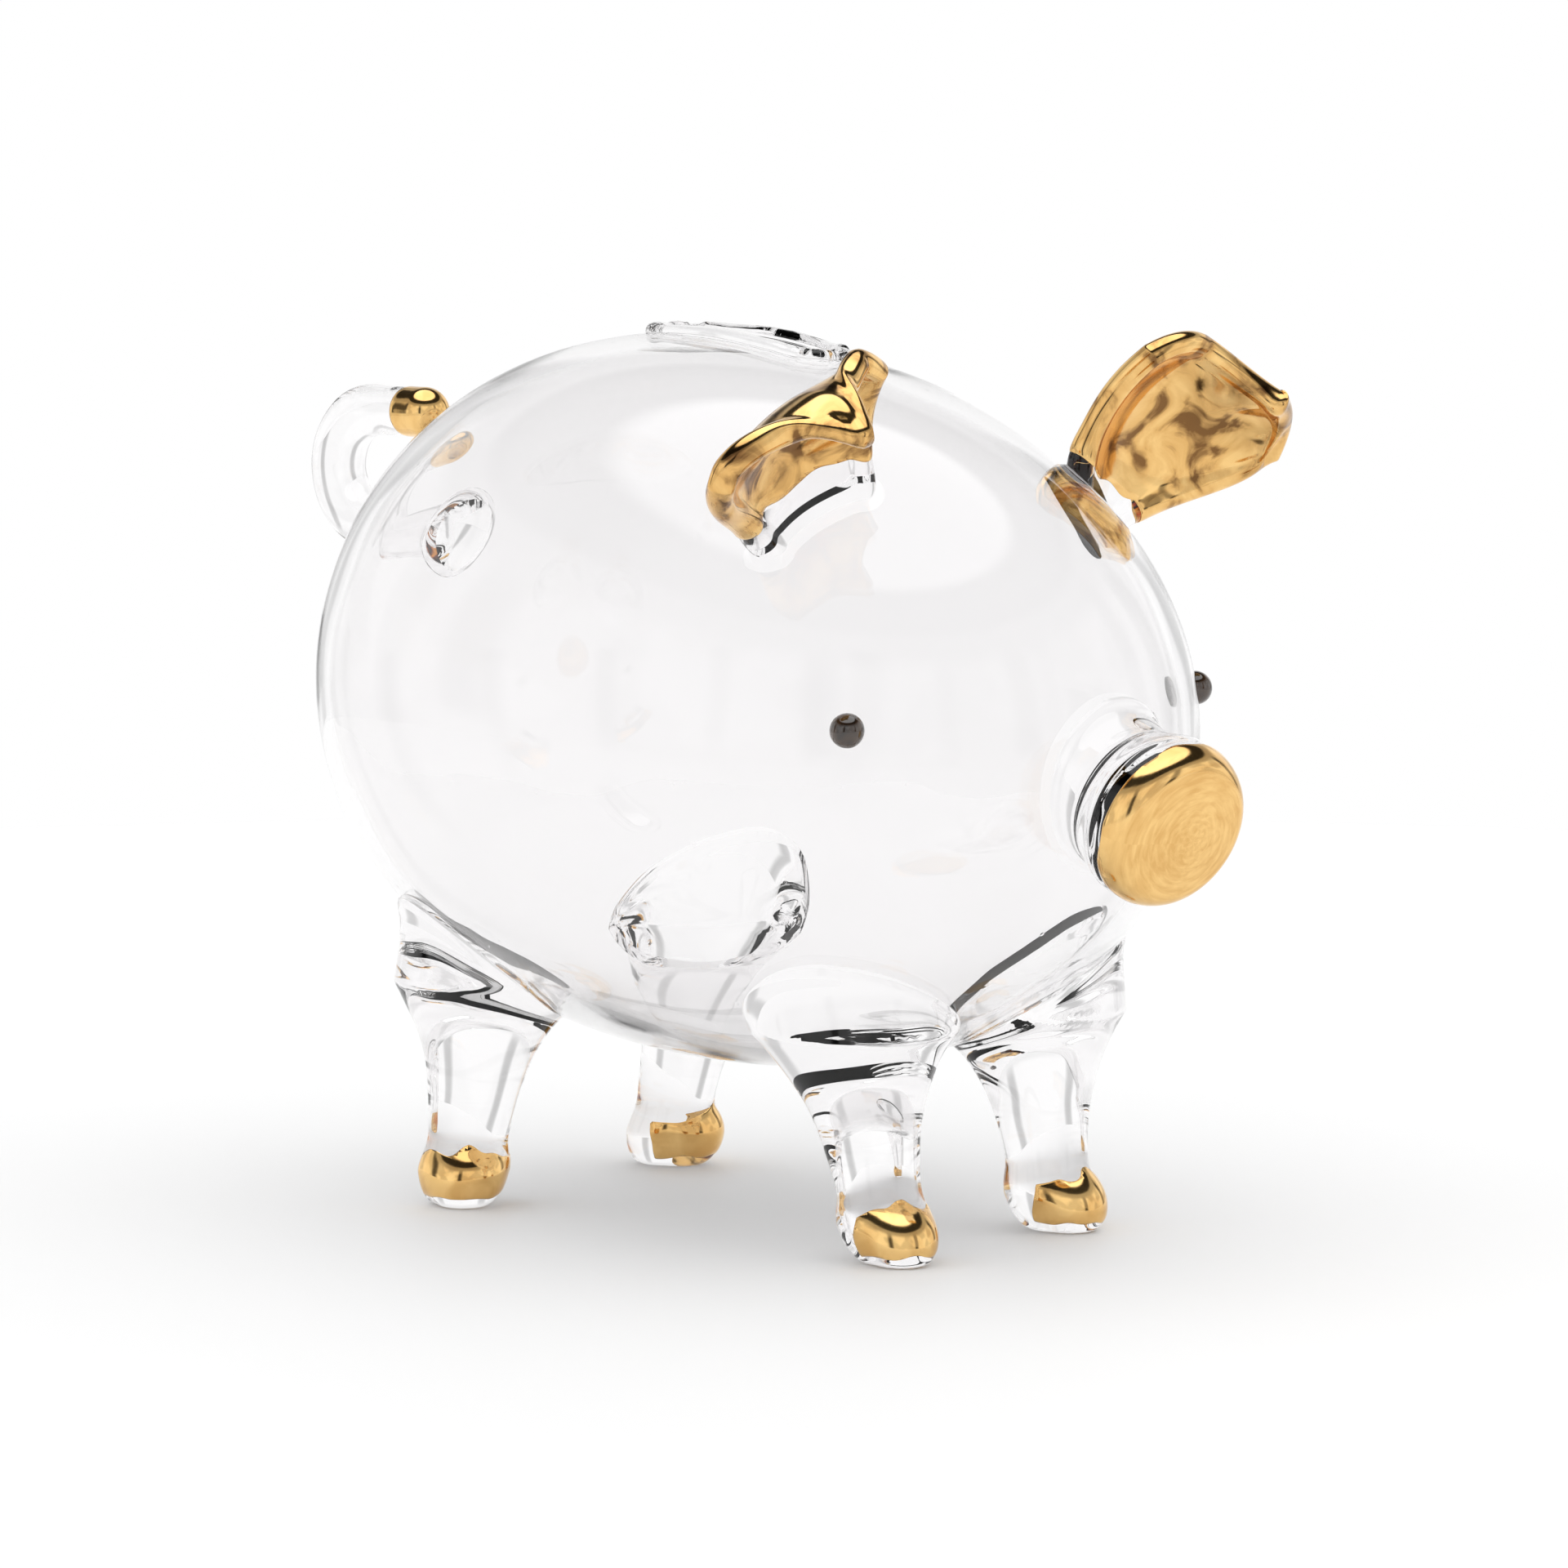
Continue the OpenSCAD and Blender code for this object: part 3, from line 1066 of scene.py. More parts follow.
class GrowTree:
    """A Geometry Nodes tree with named inputs, run once on an empty object."""

    def __init__(self, name: str) -> None:
        """Makes the tree with a geometry input and output.

        Args:
            name: The tree's name.
        """
        self.tree = bpy.data.node_groups.new(name, "GeometryNodeTree")
        self.board = Board(self.tree)
        self.sockets: dict[str, str] = {}
        self.values: dict[str, float] = {}
        for way in ("INPUT", "OUTPUT"):
            self.tree.interface.new_socket(
                "Geometry", in_out=way, socket_type="NodeSocketGeometry"
            )
        self.entry = self.board.node("NodeGroupInput")
        self.exit = self.board.node("NodeGroupOutput")

    def size(self, name: str, value: float) -> Field:
        """Adds a named input.

        Args:
            name: The input's name.
            value: The value that the modifier sets.

        Returns:
            The input as a field.
        """
        socket = self.tree.interface.new_socket(name, in_out="INPUT", socket_type="NodeSocketFloat")
        self.sockets[name] = socket.identifier
        self.values[name] = value
        found = next(o for o in self.entry.outputs if o.identifier == socket.identifier)
        return self.board.field(found)

    def finish(self, geometry: bpy.types.NodeSocket, material: bpy.types.Material) -> None:
        """Ends the tree in smooth shading, Realize Instances and Set Material.

        Args:
            geometry: What the tree has made.
            material: Its material.
        """
        smooth = self.board.node("GeometryNodeSetShadeSmooth", {"Geometry": geometry})
        real = self.board.node("GeometryNodeRealizeInstances", {"Geometry": smooth.outputs[0]})
        dressed = self.board.node(
            "GeometryNodeSetMaterial", {"Geometry": real.outputs[0], "Material": material}
        )
        self.board.feed(self.exit.inputs[0], dressed.outputs[0])

    def run(self, mesh: bpy.types.Mesh | None = None) -> bpy.types.Mesh:
        """Runs the tree and keeps its result as a plain mesh.

        Args:
            mesh: The mesh that the tree starts from, if it starts from one.

        Returns:
            The result.
        """
        holder = bpy.data.objects.new("holder", mesh or bpy.data.meshes.new("holder"))
        bpy.context.scene.collection.objects.link(holder)
        modifier = holder.modifiers.new("grow", "NODES")
        modifier.node_group = self.tree
        for name, value in self.values.items():
            modifier[self.sockets[name]] = value
        graph = bpy.context.evaluated_depsgraph_get()
        result = bpy.data.meshes.new_from_object(holder.evaluated_get(graph), depsgraph=graph)
        bpy.data.objects.remove(holder)
        bm = bmesh.new()
        bm.from_mesh(result)
        if not any(edge.is_boundary for edge in bm.edges):
            face_out(bm)
            bm.to_mesh(result)
        bm.free()
        return result

    def grid(self, rows: int, columns: int) -> tuple[bpy.types.NodeSocket, Field, Field]:
        """Adds a grid to shape.

        Args:
            rows: Points along the first way.
            columns: Points along the second way.

        Returns:
            The grid, and its two ways as fields that run from 0 to 1.
        """
        made = self.board.node(
            "GeometryNodeMeshGrid",
            {"Size X": 1.0, "Size Y": 1.0, "Vertices X": rows, "Vertices Y": columns},
        )
        place = self.board.node("GeometryNodeInputPosition")
        parts = self.board.node("ShaderNodeSeparateXYZ", {"Vector": place.outputs[0]})
        first = self.board.field(parts.outputs["X"]) + 0.5
        second = self.board.field(parts.outputs["Y"]) + 0.5
        return made.outputs["Mesh"], first, second

    def vector(self, triple: Triple) -> bpy.types.NodeSocket:
        """Joins three fields into a vector.

        Args:
            triple: The fields.

        Returns:
            The vector.
        """
        made = self.board.node("ShaderNodeCombineXYZ")
        for socket, value in zip(made.inputs, triple):
            self.board.feed(socket, value)
        return made.outputs[0]

    def shape(self, grid: bpy.types.NodeSocket, triple: Triple) -> bpy.types.NodeSocket:
        """Sets the grid's points and closes its seams.

        Args:
            grid: The grid.
            triple: The points' places.

        Returns:
            The closed mesh.
        """
        moved = self.board.node(
            "GeometryNodeSetPosition", {"Geometry": grid, "Position": self.vector(triple)}
        )
        merged = self.board.node(
            "GeometryNodeMergeByDistance", {"Geometry": moved.outputs[0], "Distance": 0.002 * MM}
        )
        return merged.outputs[0]

    def egg(self, rule: EggRule) -> EggRule:
        """The egg's rule with its sizes as named inputs.

        Args:
            rule: The rule with plain numbers.

        Returns:
            The rule with fields.
        """
        return EggRule(
            diameter=self.size("Diameter", rule.diameter),
            length=self.size("Length", rule.length),
            taper=self.size("Nose Taper", rule.taper),
            fullness=self.size("Fullness", rule.fullness),
            pitch=self.size("Pitch", rule.pitch),
            centre_y=self.size("Centre Y", rule.centre_y),
            centre_z=self.size("Centre Z", rule.centre_z),
            rounds=rule.rounds,
        )

    def slot(self, rule: SlotRule) -> SlotRule:
        """The rules of the slot and its egg with their sizes as named inputs.

        Args:
            rule: The rule with plain numbers.

        Returns:
            The rule with fields.
        """
        egg = self.egg(rule.egg)
        length = self.size("Slot Length", rule.length)
        return SlotRule(egg, length, self.size("Slot Width", rule.width))


# ---- The blown body and its slot


@dataclass
class BlownBody:
    """The hollow body with the coin slot, grown by one Geometry Nodes tree."""

    egg: EggRule
    slot: SlotRule
    palette: Palette
    wall: float = 2.3 * MM
    wall_waver: float = 0.22 * MM
    skin_waver: float = 0.07 * MM
    rows: int = 241
    columns: int = 208
    # Share of the rows that goes round the slot's edge, and how square that edge is
    rim_share: float = 0.05
    rim_square: float = 0.4

    def build(self, footprints: Iterable[Footprint]) -> Piece:
        """Makes the body.

        Args:
            footprints: The outlines of what is fused to it.

        Returns:
            The piece.
        """
        mesh = self.grow()
        points = mesh_points(mesh)
        fused = np.full(len(points), UNMARKED)
        for footprint in footprints:
            footprint.mark(self.egg, points, self.wall, fused)
        store(mesh, FUSED, fused)
        return Piece("body_shell", mesh, "clear_glass", ["body_shell"])

    def grow(self) -> bpy.types.Mesh:
        """Runs the tree: out over the body from the slot's edge, and back along the inside.

        Returns:
            The body's mesh.
        """
        grow = GrowTree("blown_body")
        slot = grow.slot(self.slot)
        wall = grow.size("Wall", self.wall)
        waver = grow.size("Wall Waver", self.wall_waver)
        skin = grow.size("Skin Waver", self.skin_waver)
        grid, way, round_way = grow.grid(self.rows, self.columns + 1)
        signed = way * 2.0 - 1.0
        far = signed.math("ABSOLUTE")
        inner = signed.math("GREATER_THAN", 0.0)
        edge = smaller(far / self.rim_share, 1.0) * (math.pi / 2)
        beyond = greater((far - self.rim_share) / (1.0 - self.rim_share), 0.0)
        radius = wall * 0.5
        out = radius * (1.0 - power(cosine(edge), self.rim_square))
        out = out + (slot.farthest - radius) * power(beyond, 1.25)
        bend = power(sine(edge), self.rim_square) * (inner * 2.0 - 1.0)
        depth = radius * (1.0 + bend)
        point, normal = slot.spot(out, round_way * (2 * math.pi))
        place = grow.vector(point)
        thick = grow.board.noise(place, 34.0, 1.0) - 0.5
        swell = grow.board.noise(place, 17.0, 1.0) - 0.5
        down = depth + inner * thick * waver * 2.0 * (depth / wall)
        down = down - swell * skin * 2.0 * smooth_step(beyond * 9.0)
        moved = tuple(p - n * down for p, n in zip(point, normal))
        grow.finish(grow.shape(grid, slot.egg.seat(moved)), self.palette.glass)
        return grow.run()


@dataclass
class SlotLip:
    """The wavy thread of glass laid round the slot."""

    egg: EggRule
    slot: SlotRule
    palette: Palette
    height: float = 1.15 * MM
    spread: float = 1.35 * MM
    inset: float = 0.3 * MM
    melt: float = 0.8 * MM
    # Points lower than this over the body belong to the contact
    contact_height: float = 0.03 * MM
    rows: int = 33
    columns: int = 256

    def build(self) -> tuple[list[Piece], Footprint]:
        """Makes the thread.

        Returns:
            The piece, and its contact with the body.
        """
        grow = GrowTree("slot_lip")
        slot = grow.slot(self.slot)
        height = grow.size("Height", self.height)
        spread = grow.size("Spread", self.spread)
        grid, way, round_way = grow.grid(self.rows, self.columns + 1)
        turn = way * (2 * math.pi)
        around = round_way * (2 * math.pi)
        out = self.inset + spread * (1.0 + cosine(turn))
        _, normal = slot.spot(out, around)
        wave = grow.board.noise(grow.vector((cosine(around), sine(around) * 3.0, 4.0)), 1.3, 2.0)
        rise = greater(sine(turn), 0.0)
        crest = height * (0.45 + 1.25 * wave)
        up = power(rise, 0.8) * crest + SEAM_GAP
        sway = (wave - 0.5) * 1.6 * MM * rise
        top, _ = slot.spot(out + sway, around)
        moved = tuple(p + n * up for p, n in zip(top, normal))
        grow.finish(grow.shape(grid, slot.egg.seat(moved)), self.palette.glass)
        mesh = grow.run()
        mesh.materials.append(self.palette.joint)
        low = self.egg.height(mesh_points(mesh)) < self.contact_height
        for polygon in mesh.polygons:
            if all(low[i] for i in polygon.vertices):
                polygon.material_index = 1
        outer, inner = self.outline()
        piece = Piece("slot_lip", mesh, "clear_glass", ["slot_lip"])
        return [piece], Footprint(outer, inner, self.melt)

    def outline(self) -> list[np.ndarray]:
        """Outlines the contact.

        Returns:
            The outer outline, then the inner one.
        """
        around = np.linspace(0, 2 * math.pi, 240, endpoint=False)
        loops = []
        for out in (self.inset + 2 * self.spread, self.inset):
            point, _ = self.slot.spot(np.full_like(around, out), around)
            loops.append(np.stack(self.egg.seat(point), axis=-1))
        return loops


# ---- What is fused to the body


def gild(
    names: tuple[str, str], glass: bpy.types.Mesh, cover: np.ndarray, gold: GoldLustre
) -> list[Piece]:
    """Makes a glass piece and the gold over part of it.

    Args:
        names: The names of the glass and of its gold.
        glass: The glass piece's mesh.
        cover: For each of its points, metres inside the gold's edge, negative outside.
        gold: The gold's finish.

    Returns:
        Both pieces.
    """
    skin = Lustre().over(glass, cover, gold.material())
    return [
        Piece(names[0], glass, "clear_glass", [names[0]]),
        Piece(names[1], skin, "gold_lustre", [names[1]]),
    ]


def meet_glass(
    egg: EggRule,
    path: Callable[[np.ndarray], np.ndarray],
    low: float,
    high: float,
    columns: int,
) -> np.ndarray:
    """Finds, for each column, how far along a path the glass is met.

    Args:
        egg: The body's rule.
        path: Gives the columns' points for an array of distances.
        low: Distance at which every column is outside the glass.
        high: Distance at which the search ends.
        columns: Number of columns.

    Returns:
        The distance for each column.
    """
    steps, halvings = 80, 30
    tries = np.linspace(low, high, steps)
    gaps = np.array([egg.height(path(np.full(columns, t))) - SEAM_GAP for t in tries])
    first = np.argmax(gaps < 0, axis=0)
    first = np.where((gaps < 0).any(axis=0), np.maximum(first, 1), steps - 1)
    near, far = tries[first - 1], tries[first]
    for _ in range(halvings):
        middle = (near + far) / 2
        outside = egg.height(path(middle)) > SEAM_GAP
        near = np.where(outside, middle, near)
        far = np.where(outside, far, middle)
    return (near + far) / 2


def frame_of(origin: Sequence[float], turns: Sequence[tuple[str, float]]) -> np.ndarray:
    """A frame moved to an origin and turned, the first turn outermost.

    Args:
        origin: The frame's origin.
        turns: Axis letters and angles in degrees.

    Returns:
        The 4 by 4 matrix.
    """
    made = Matrix.Translation(Vector(origin))
    for axis, angle in turns:
        made = made @ Matrix.Rotation(math.radians(angle), 4, axis)
    return np.array(made)


def travelled(points: np.ndarray, axis: int) -> np.ndarray:
    """Distance along a grid of points from its first row or column.

    Args:
        points: The grid.
        axis: 0 to go down the columns, 1 to go along the rows.

    Returns:
        The distance at each point.
    """
    steps = np.linalg.norm(np.diff(points, axis=axis), axis=-1)
    return np.insert(np.cumsum(steps, axis=axis), 0, 0.0, axis=axis)


def carry(matrix: np.ndarray, points: np.ndarray) -> np.ndarray:
    """Moves points by a 4 by 4 matrix."""
    return points @ matrix[:3, :3].T + matrix[:3, 3]


@dataclass
class Leg:
    """A solid leg drawn down from the body, with a foot, a toe ball and a gold hoof."""

    egg: EggRule
    palette: Palette
    end: End
    side: Side
    ankle: float = 10.5 * MM
    hip: float = 25.5 * MM
    foot: float = 11.6 * MM
    sole: float = 7.0 * MM
    toe: float = 9.6 * MM
    toe_reach: float = 2.6 * MM
    toe_height: float = 3.6 * MM
    sole_round: float = 0.8 * MM
    fillet: float = 1.1 * MM
    fillet_length: float = 1.6 * MM
    # How the shank widens to the hip, and how hard the foot, shank and toe meet
    hip_rate: float = 2.4
    blend: float = 9.0
    # The hoof's gold: its lower edge, its upper edge over the toe, and how far back it reaches
    gold_low: float = 1.5 * MM
    gold_high: float = 8.2 * MM
    gold_back: float = 2.6 * MM
    melt: float = -1.2 * MM
    rows: int = 70
    columns: int = 96
    sole_rings: int = 6

    @property
    def spot(self) -> np.ndarray:
        """Middle of the foot on the floor.

        Returns:
            The point, before mirroring.
        """
        sign = self.side.value
        x, y = (17.2 - sign * 1.7, -40.8 + sign * 1.7)
        if self.end is End.REAR:
            x, y = (22.0 - sign * 3.0, 34.8 + sign * 3.0)
        return np.array([x, y, 0]) * MM + [0, self.egg.centre_y, 0]

    @property
    def hip_point(self) -> np.ndarray:
        """Place on the glass that the leg is drawn from.

        Returns:
            The point, before mirroring.
        """
        if self.end is End.FRONT:
            return self.egg.place(54.0, -65.0)
        return self.egg.place(115.5 if self.side is Side.LEFT else 112.5, -61.5)

    @property
    def toe_way(self) -> np.ndarray:
        """Direction of the toe on the floor, before mirroring."""
        turn = math.radians(12.0 if self.end is End.FRONT else 28.0)
        return np.array([math.sin(turn), -math.cos(turn)])

    @property
    def name(self) -> str:
        """The leg's part of a piece's name."""
        return f"{self.end.value}_{self.side.word}"

    def radius(self, z: np.ndarray, angle: np.ndarray) -> np.ndarray:
        """Distance from the leg's axis to its surface.

        Args:
            z: Heights above the floor.
            angle: Angles round the axis.

        Returns:
            The distances.
        """
        foot_z = math.sqrt(self.foot**2 - self.sole**2) / 2
        ball = np.sqrt(np.maximum((self.foot / 2) ** 2 - (z - foot_z) ** 2, 0))
        k = np.clip((z - foot_z) / (self.hip_point[2] - foot_z), 0, 1)
        shank = self.ankle / 2 + (self.hip - self.ankle) / 2 * k**self.hip_rate
        shank = shank * np.clip((z + 4 * MM) / (foot_z + 4 * MM), 0, 1)
        way = self.toe_way * self.toe_reach
        ahead = way[0] * np.cos(angle) + way[1] * np.sin(angle)
        aside = way[0] * np.sin(angle) - way[1] * np.cos(angle)
        slice_radius = np.maximum((self.toe / 2) ** 2 - (z - self.toe_height) ** 2, 0)
        toe = np.maximum(ahead + np.sqrt(np.maximum(slice_radius - aside**2, 0)), 0)
        toe = np.where(slice_radius > aside**2, toe, 0)
        whole = (ball**self.blend + shank**self.blend + toe**self.blend) ** (1 / self.blend)
        low = np.clip(1 - z / self.sole_round, 0, 1)
        return whole - self.sole_round * (1 - np.sqrt(np.maximum(1 - low**2, 0)))

    def at(self, z: np.ndarray, angle: np.ndarray) -> np.ndarray:
        """Points of the leg's surface.

        Args:
            z: Heights above the floor.
            angle: Angles round the axis.

        Returns:
            The points, before mirroring.
        """
        spot, hip = self.spot, self.hip_point
        share = z / hip[2]
        middle = spot[:2] + (hip - spot)[:2] * share[..., None]
        way = np.stack([np.cos(angle), np.sin(angle)], axis=-1)
        reach = self.radius(z, angle)
        base = np.concatenate([middle + way * reach[..., None], z[..., None]], axis=-1)
        gap = np.maximum(self.egg.height(base), 0)
        reach = reach + self.fillet * np.exp(-gap / self.fillet_length)
        seed = 3.0 + self.side.value + (7.0 if self.end is End.FRONT else 0.0)
        reach = reach + 0.16 * MM * wobble(base, 7 * MM, seed) * np.clip(z / (5 * MM), 0, 1)
        return np.concatenate([middle + way * reach[..., None], z[..., None]], axis=-1)

    def build(self) -> tuple[list[Piece], Footprint]:
        """Makes the leg and its gold hoof.

        Returns:
            The pieces, and the leg's contact with the body.
        """
        angle = np.linspace(0, 2 * math.pi, self.columns, endpoint=False)
        top = meet_glass(self.egg, lambda z: self.at(z, angle), 10 * MM, 60 * MM, self.columns)
        share = (np.arange(self.rows) / (self.rows - 1)) ** 1.25
        z = share[:, None] * top[None]
        wall = self.at(z, np.broadcast_to(angle, z.shape))
        wall[-1] = self.egg.cast(wall[-1], SEAM_GAP)
        form = Form(wall.reshape(-1, 3), grid_faces(self.rows, self.columns))
        form.add(self.sole_form(wall[0]))
        form.add(cap_on_egg(self.egg, wall[-1]))
        loop = wall[-1]
        if self.side is Side.RIGHT:
            form, loop = form.mirrored(), loop * self.side.flip
        mesh = to_mesh(form, [self.palette.glass, self.palette.joint])
        cover = self.gold_cover(mesh_points(mesh) * self.side.flip)
        gold = GoldLustre(f"gold_hoof_{self.name}", Stroke.SMOOTH)
        pieces = gild((f"leg_{self.name}", f"hoof_gold_{self.name}"), mesh, cover, gold)
        return pieces, Footprint(loop, melt=self.melt)

    def sole_form(self, rim: np.ndarray) -> Form:
        """The flat fire-polished sole inside the lowest ring.

        Args:
            rim: The lowest ring's points.

        Returns:
            The sole.
        """
        middle = rim.mean(axis=0)
        rows = [middle + (rim - middle) * (1 - i / self.sole_rings) for i in range(self.sole_rings)]
        return fan(rows, middle[None])

    def gold_cover(self, points: np.ndarray) -> np.ndarray:
        """How far inside the hoof's gold the points are.

        Args:
            points: The leg's points, before mirroring.

        Returns:
            Distances, negative outside the gold.
        """
        centre = self.spot[:2] + self.toe_way * self.toe_reach
        flat = points[:, :2] - centre
        ahead = flat @ self.toe_way
        aside = flat @ np.array([-self.toe_way[1], self.toe_way[0]])
        waver = wobble(points, 3.2 * MM, 11.0 + self.side.value * 3 + len(self.end.value)) * MM
        low = points[:, 2] - self.gold_low - 0.3 * waver
        high = self.gold_high - 0.28 * np.abs(aside) + 0.6 * waver - points[:, 2]
        front = ahead + self.gold_back + 0.5 * waver
        return np.minimum(np.minimum(low, high), front)


@dataclass
class Snout:
    """The short solid cylinder of the snout with its gold face."""

    egg: EggRule
    palette: Palette
    radius: float = 11.0 * MM
    length: float = 14.5 * MM
    rounding: float = 2.9 * MM
    rounding_length: float = 4.6 * MM
    crown: float = 0.6 * MM
    groove: float = 1.5 * MM
    pitch: float = 20.0
    turn: float = 7.0
    gold_side: float = -0.9 * MM
    fillet: float = 1.3 * MM
    fillet_length: float = 0.8 * MM
    # The groove behind the gold ends here, over this length
    groove_end: float = 2.6 * MM
    groove_rise: float = 6.0 * MM
    melt: float = 0.0
    columns: int = 128

    @property
    def axis(self) -> np.ndarray:
        """Frame at the nose whose Z axis runs out along the snout."""
        return frame_of(self.egg.place(0.0, 0.0), [("Z", -self.turn), ("X", 90.0 + self.pitch)])

    def at(self, along: np.ndarray, angle: np.ndarray) -> np.ndarray:
        """Points of the snout's side.

        Args:
            along: Distances out from the nose.
            angle: Angles round the axis.

        Returns:
            The points.
        """
        waist = rise_over(along, self.groove_end, self.groove_rise)
        reach = self.radius - self.groove * (1 - waist)
        base = self.ring(along, reach, angle)
        gap = np.maximum(self.egg.height(base), 0)
        reach = reach + self.fillet * np.exp(-gap / self.fillet_length)
        reach = reach + 0.12 * MM * wobble(base, 8 * MM, 5.0)
        return self.ring(along, reach, angle)

    def ring(self, along: np.ndarray, reach: np.ndarray, angle: np.ndarray) -> np.ndarray:
        """Points round the snout's axis.

        Args:
            along: Distances out from the nose.
            reach: Distances from the axis.
            angle: Angles round the axis.

        Returns:
            The points.
        """
        local = np.stack([reach * np.cos(angle), reach * np.sin(angle), along + 0 * reach], axis=-1)
        return carry(self.axis, local)

    def build(self) -> tuple[list[Piece], Footprint]:
        """Makes the snout and its gold.

        Returns:
            The pieces, and the snout's contact with the body.
        """
        angle = np.linspace(0, 2 * math.pi, self.columns, endpoint=False)
        corner = self.radius - self.rounding
        start = self.length - self.rounding_length - self.crown
        profile = [(self.length - self.crown * k * k, corner * k) for k in np.linspace(0.03, 1, 26)]
        for a in np.radians(np.linspace(80, 5, 14)):
            along = start + self.rounding_length * math.sin(a)
            profile.append((along, corner + self.rounding * math.cos(a)))
        level = np.ones(self.columns)
        rows = [self.ring(along * level, reach * level, angle) for along, reach in profile]
        end = -meet_glass(self.egg, lambda t: self.at(-t, angle), -6 * MM, 9 * MM, self.columns)
        rows += [self.at(start + (end - start) * share, angle) for share in np.linspace(0, 1, 40)]
        rows[-1] = self.egg.cast(rows[-1], SEAM_GAP)
        tip = carry(self.axis, np.array([[0.0, 0.0, self.length]]))
        points = np.vstack(rows + [tip])
        faces = grid_faces(len(rows), self.columns)
        last = len(points) - 1
        faces += [((j + 1) % self.columns, j, last) for j in range(self.columns)]
        form = Form(points, faces)
        form.add(cap_on_egg(self.egg, rows[-1]))
        mesh = to_mesh(form, [self.palette.glass, self.palette.joint])
        local = carry(np.linalg.inv(self.axis), mesh_points(mesh))
        waver = wobble(mesh_points(mesh), 4.5 * MM, 21.0) * MM
        cover = local[:, 2] - (start - self.gold_side) + 0.55 * waver
        centre = carry(self.axis, np.array([0.9 * MM, -0.6 * MM, self.length]))
        turn = (math.radians(90 + self.pitch), 0.0, math.radians(-self.turn))
        gold = GoldLustre("gold_snout", Stroke.SWIRL, centre=tuple(centre), turn=turn)
        pieces = gild(("snout", "snout_gold"), mesh, cover, gold)
        return pieces, Footprint(rows[-1], melt=self.melt)


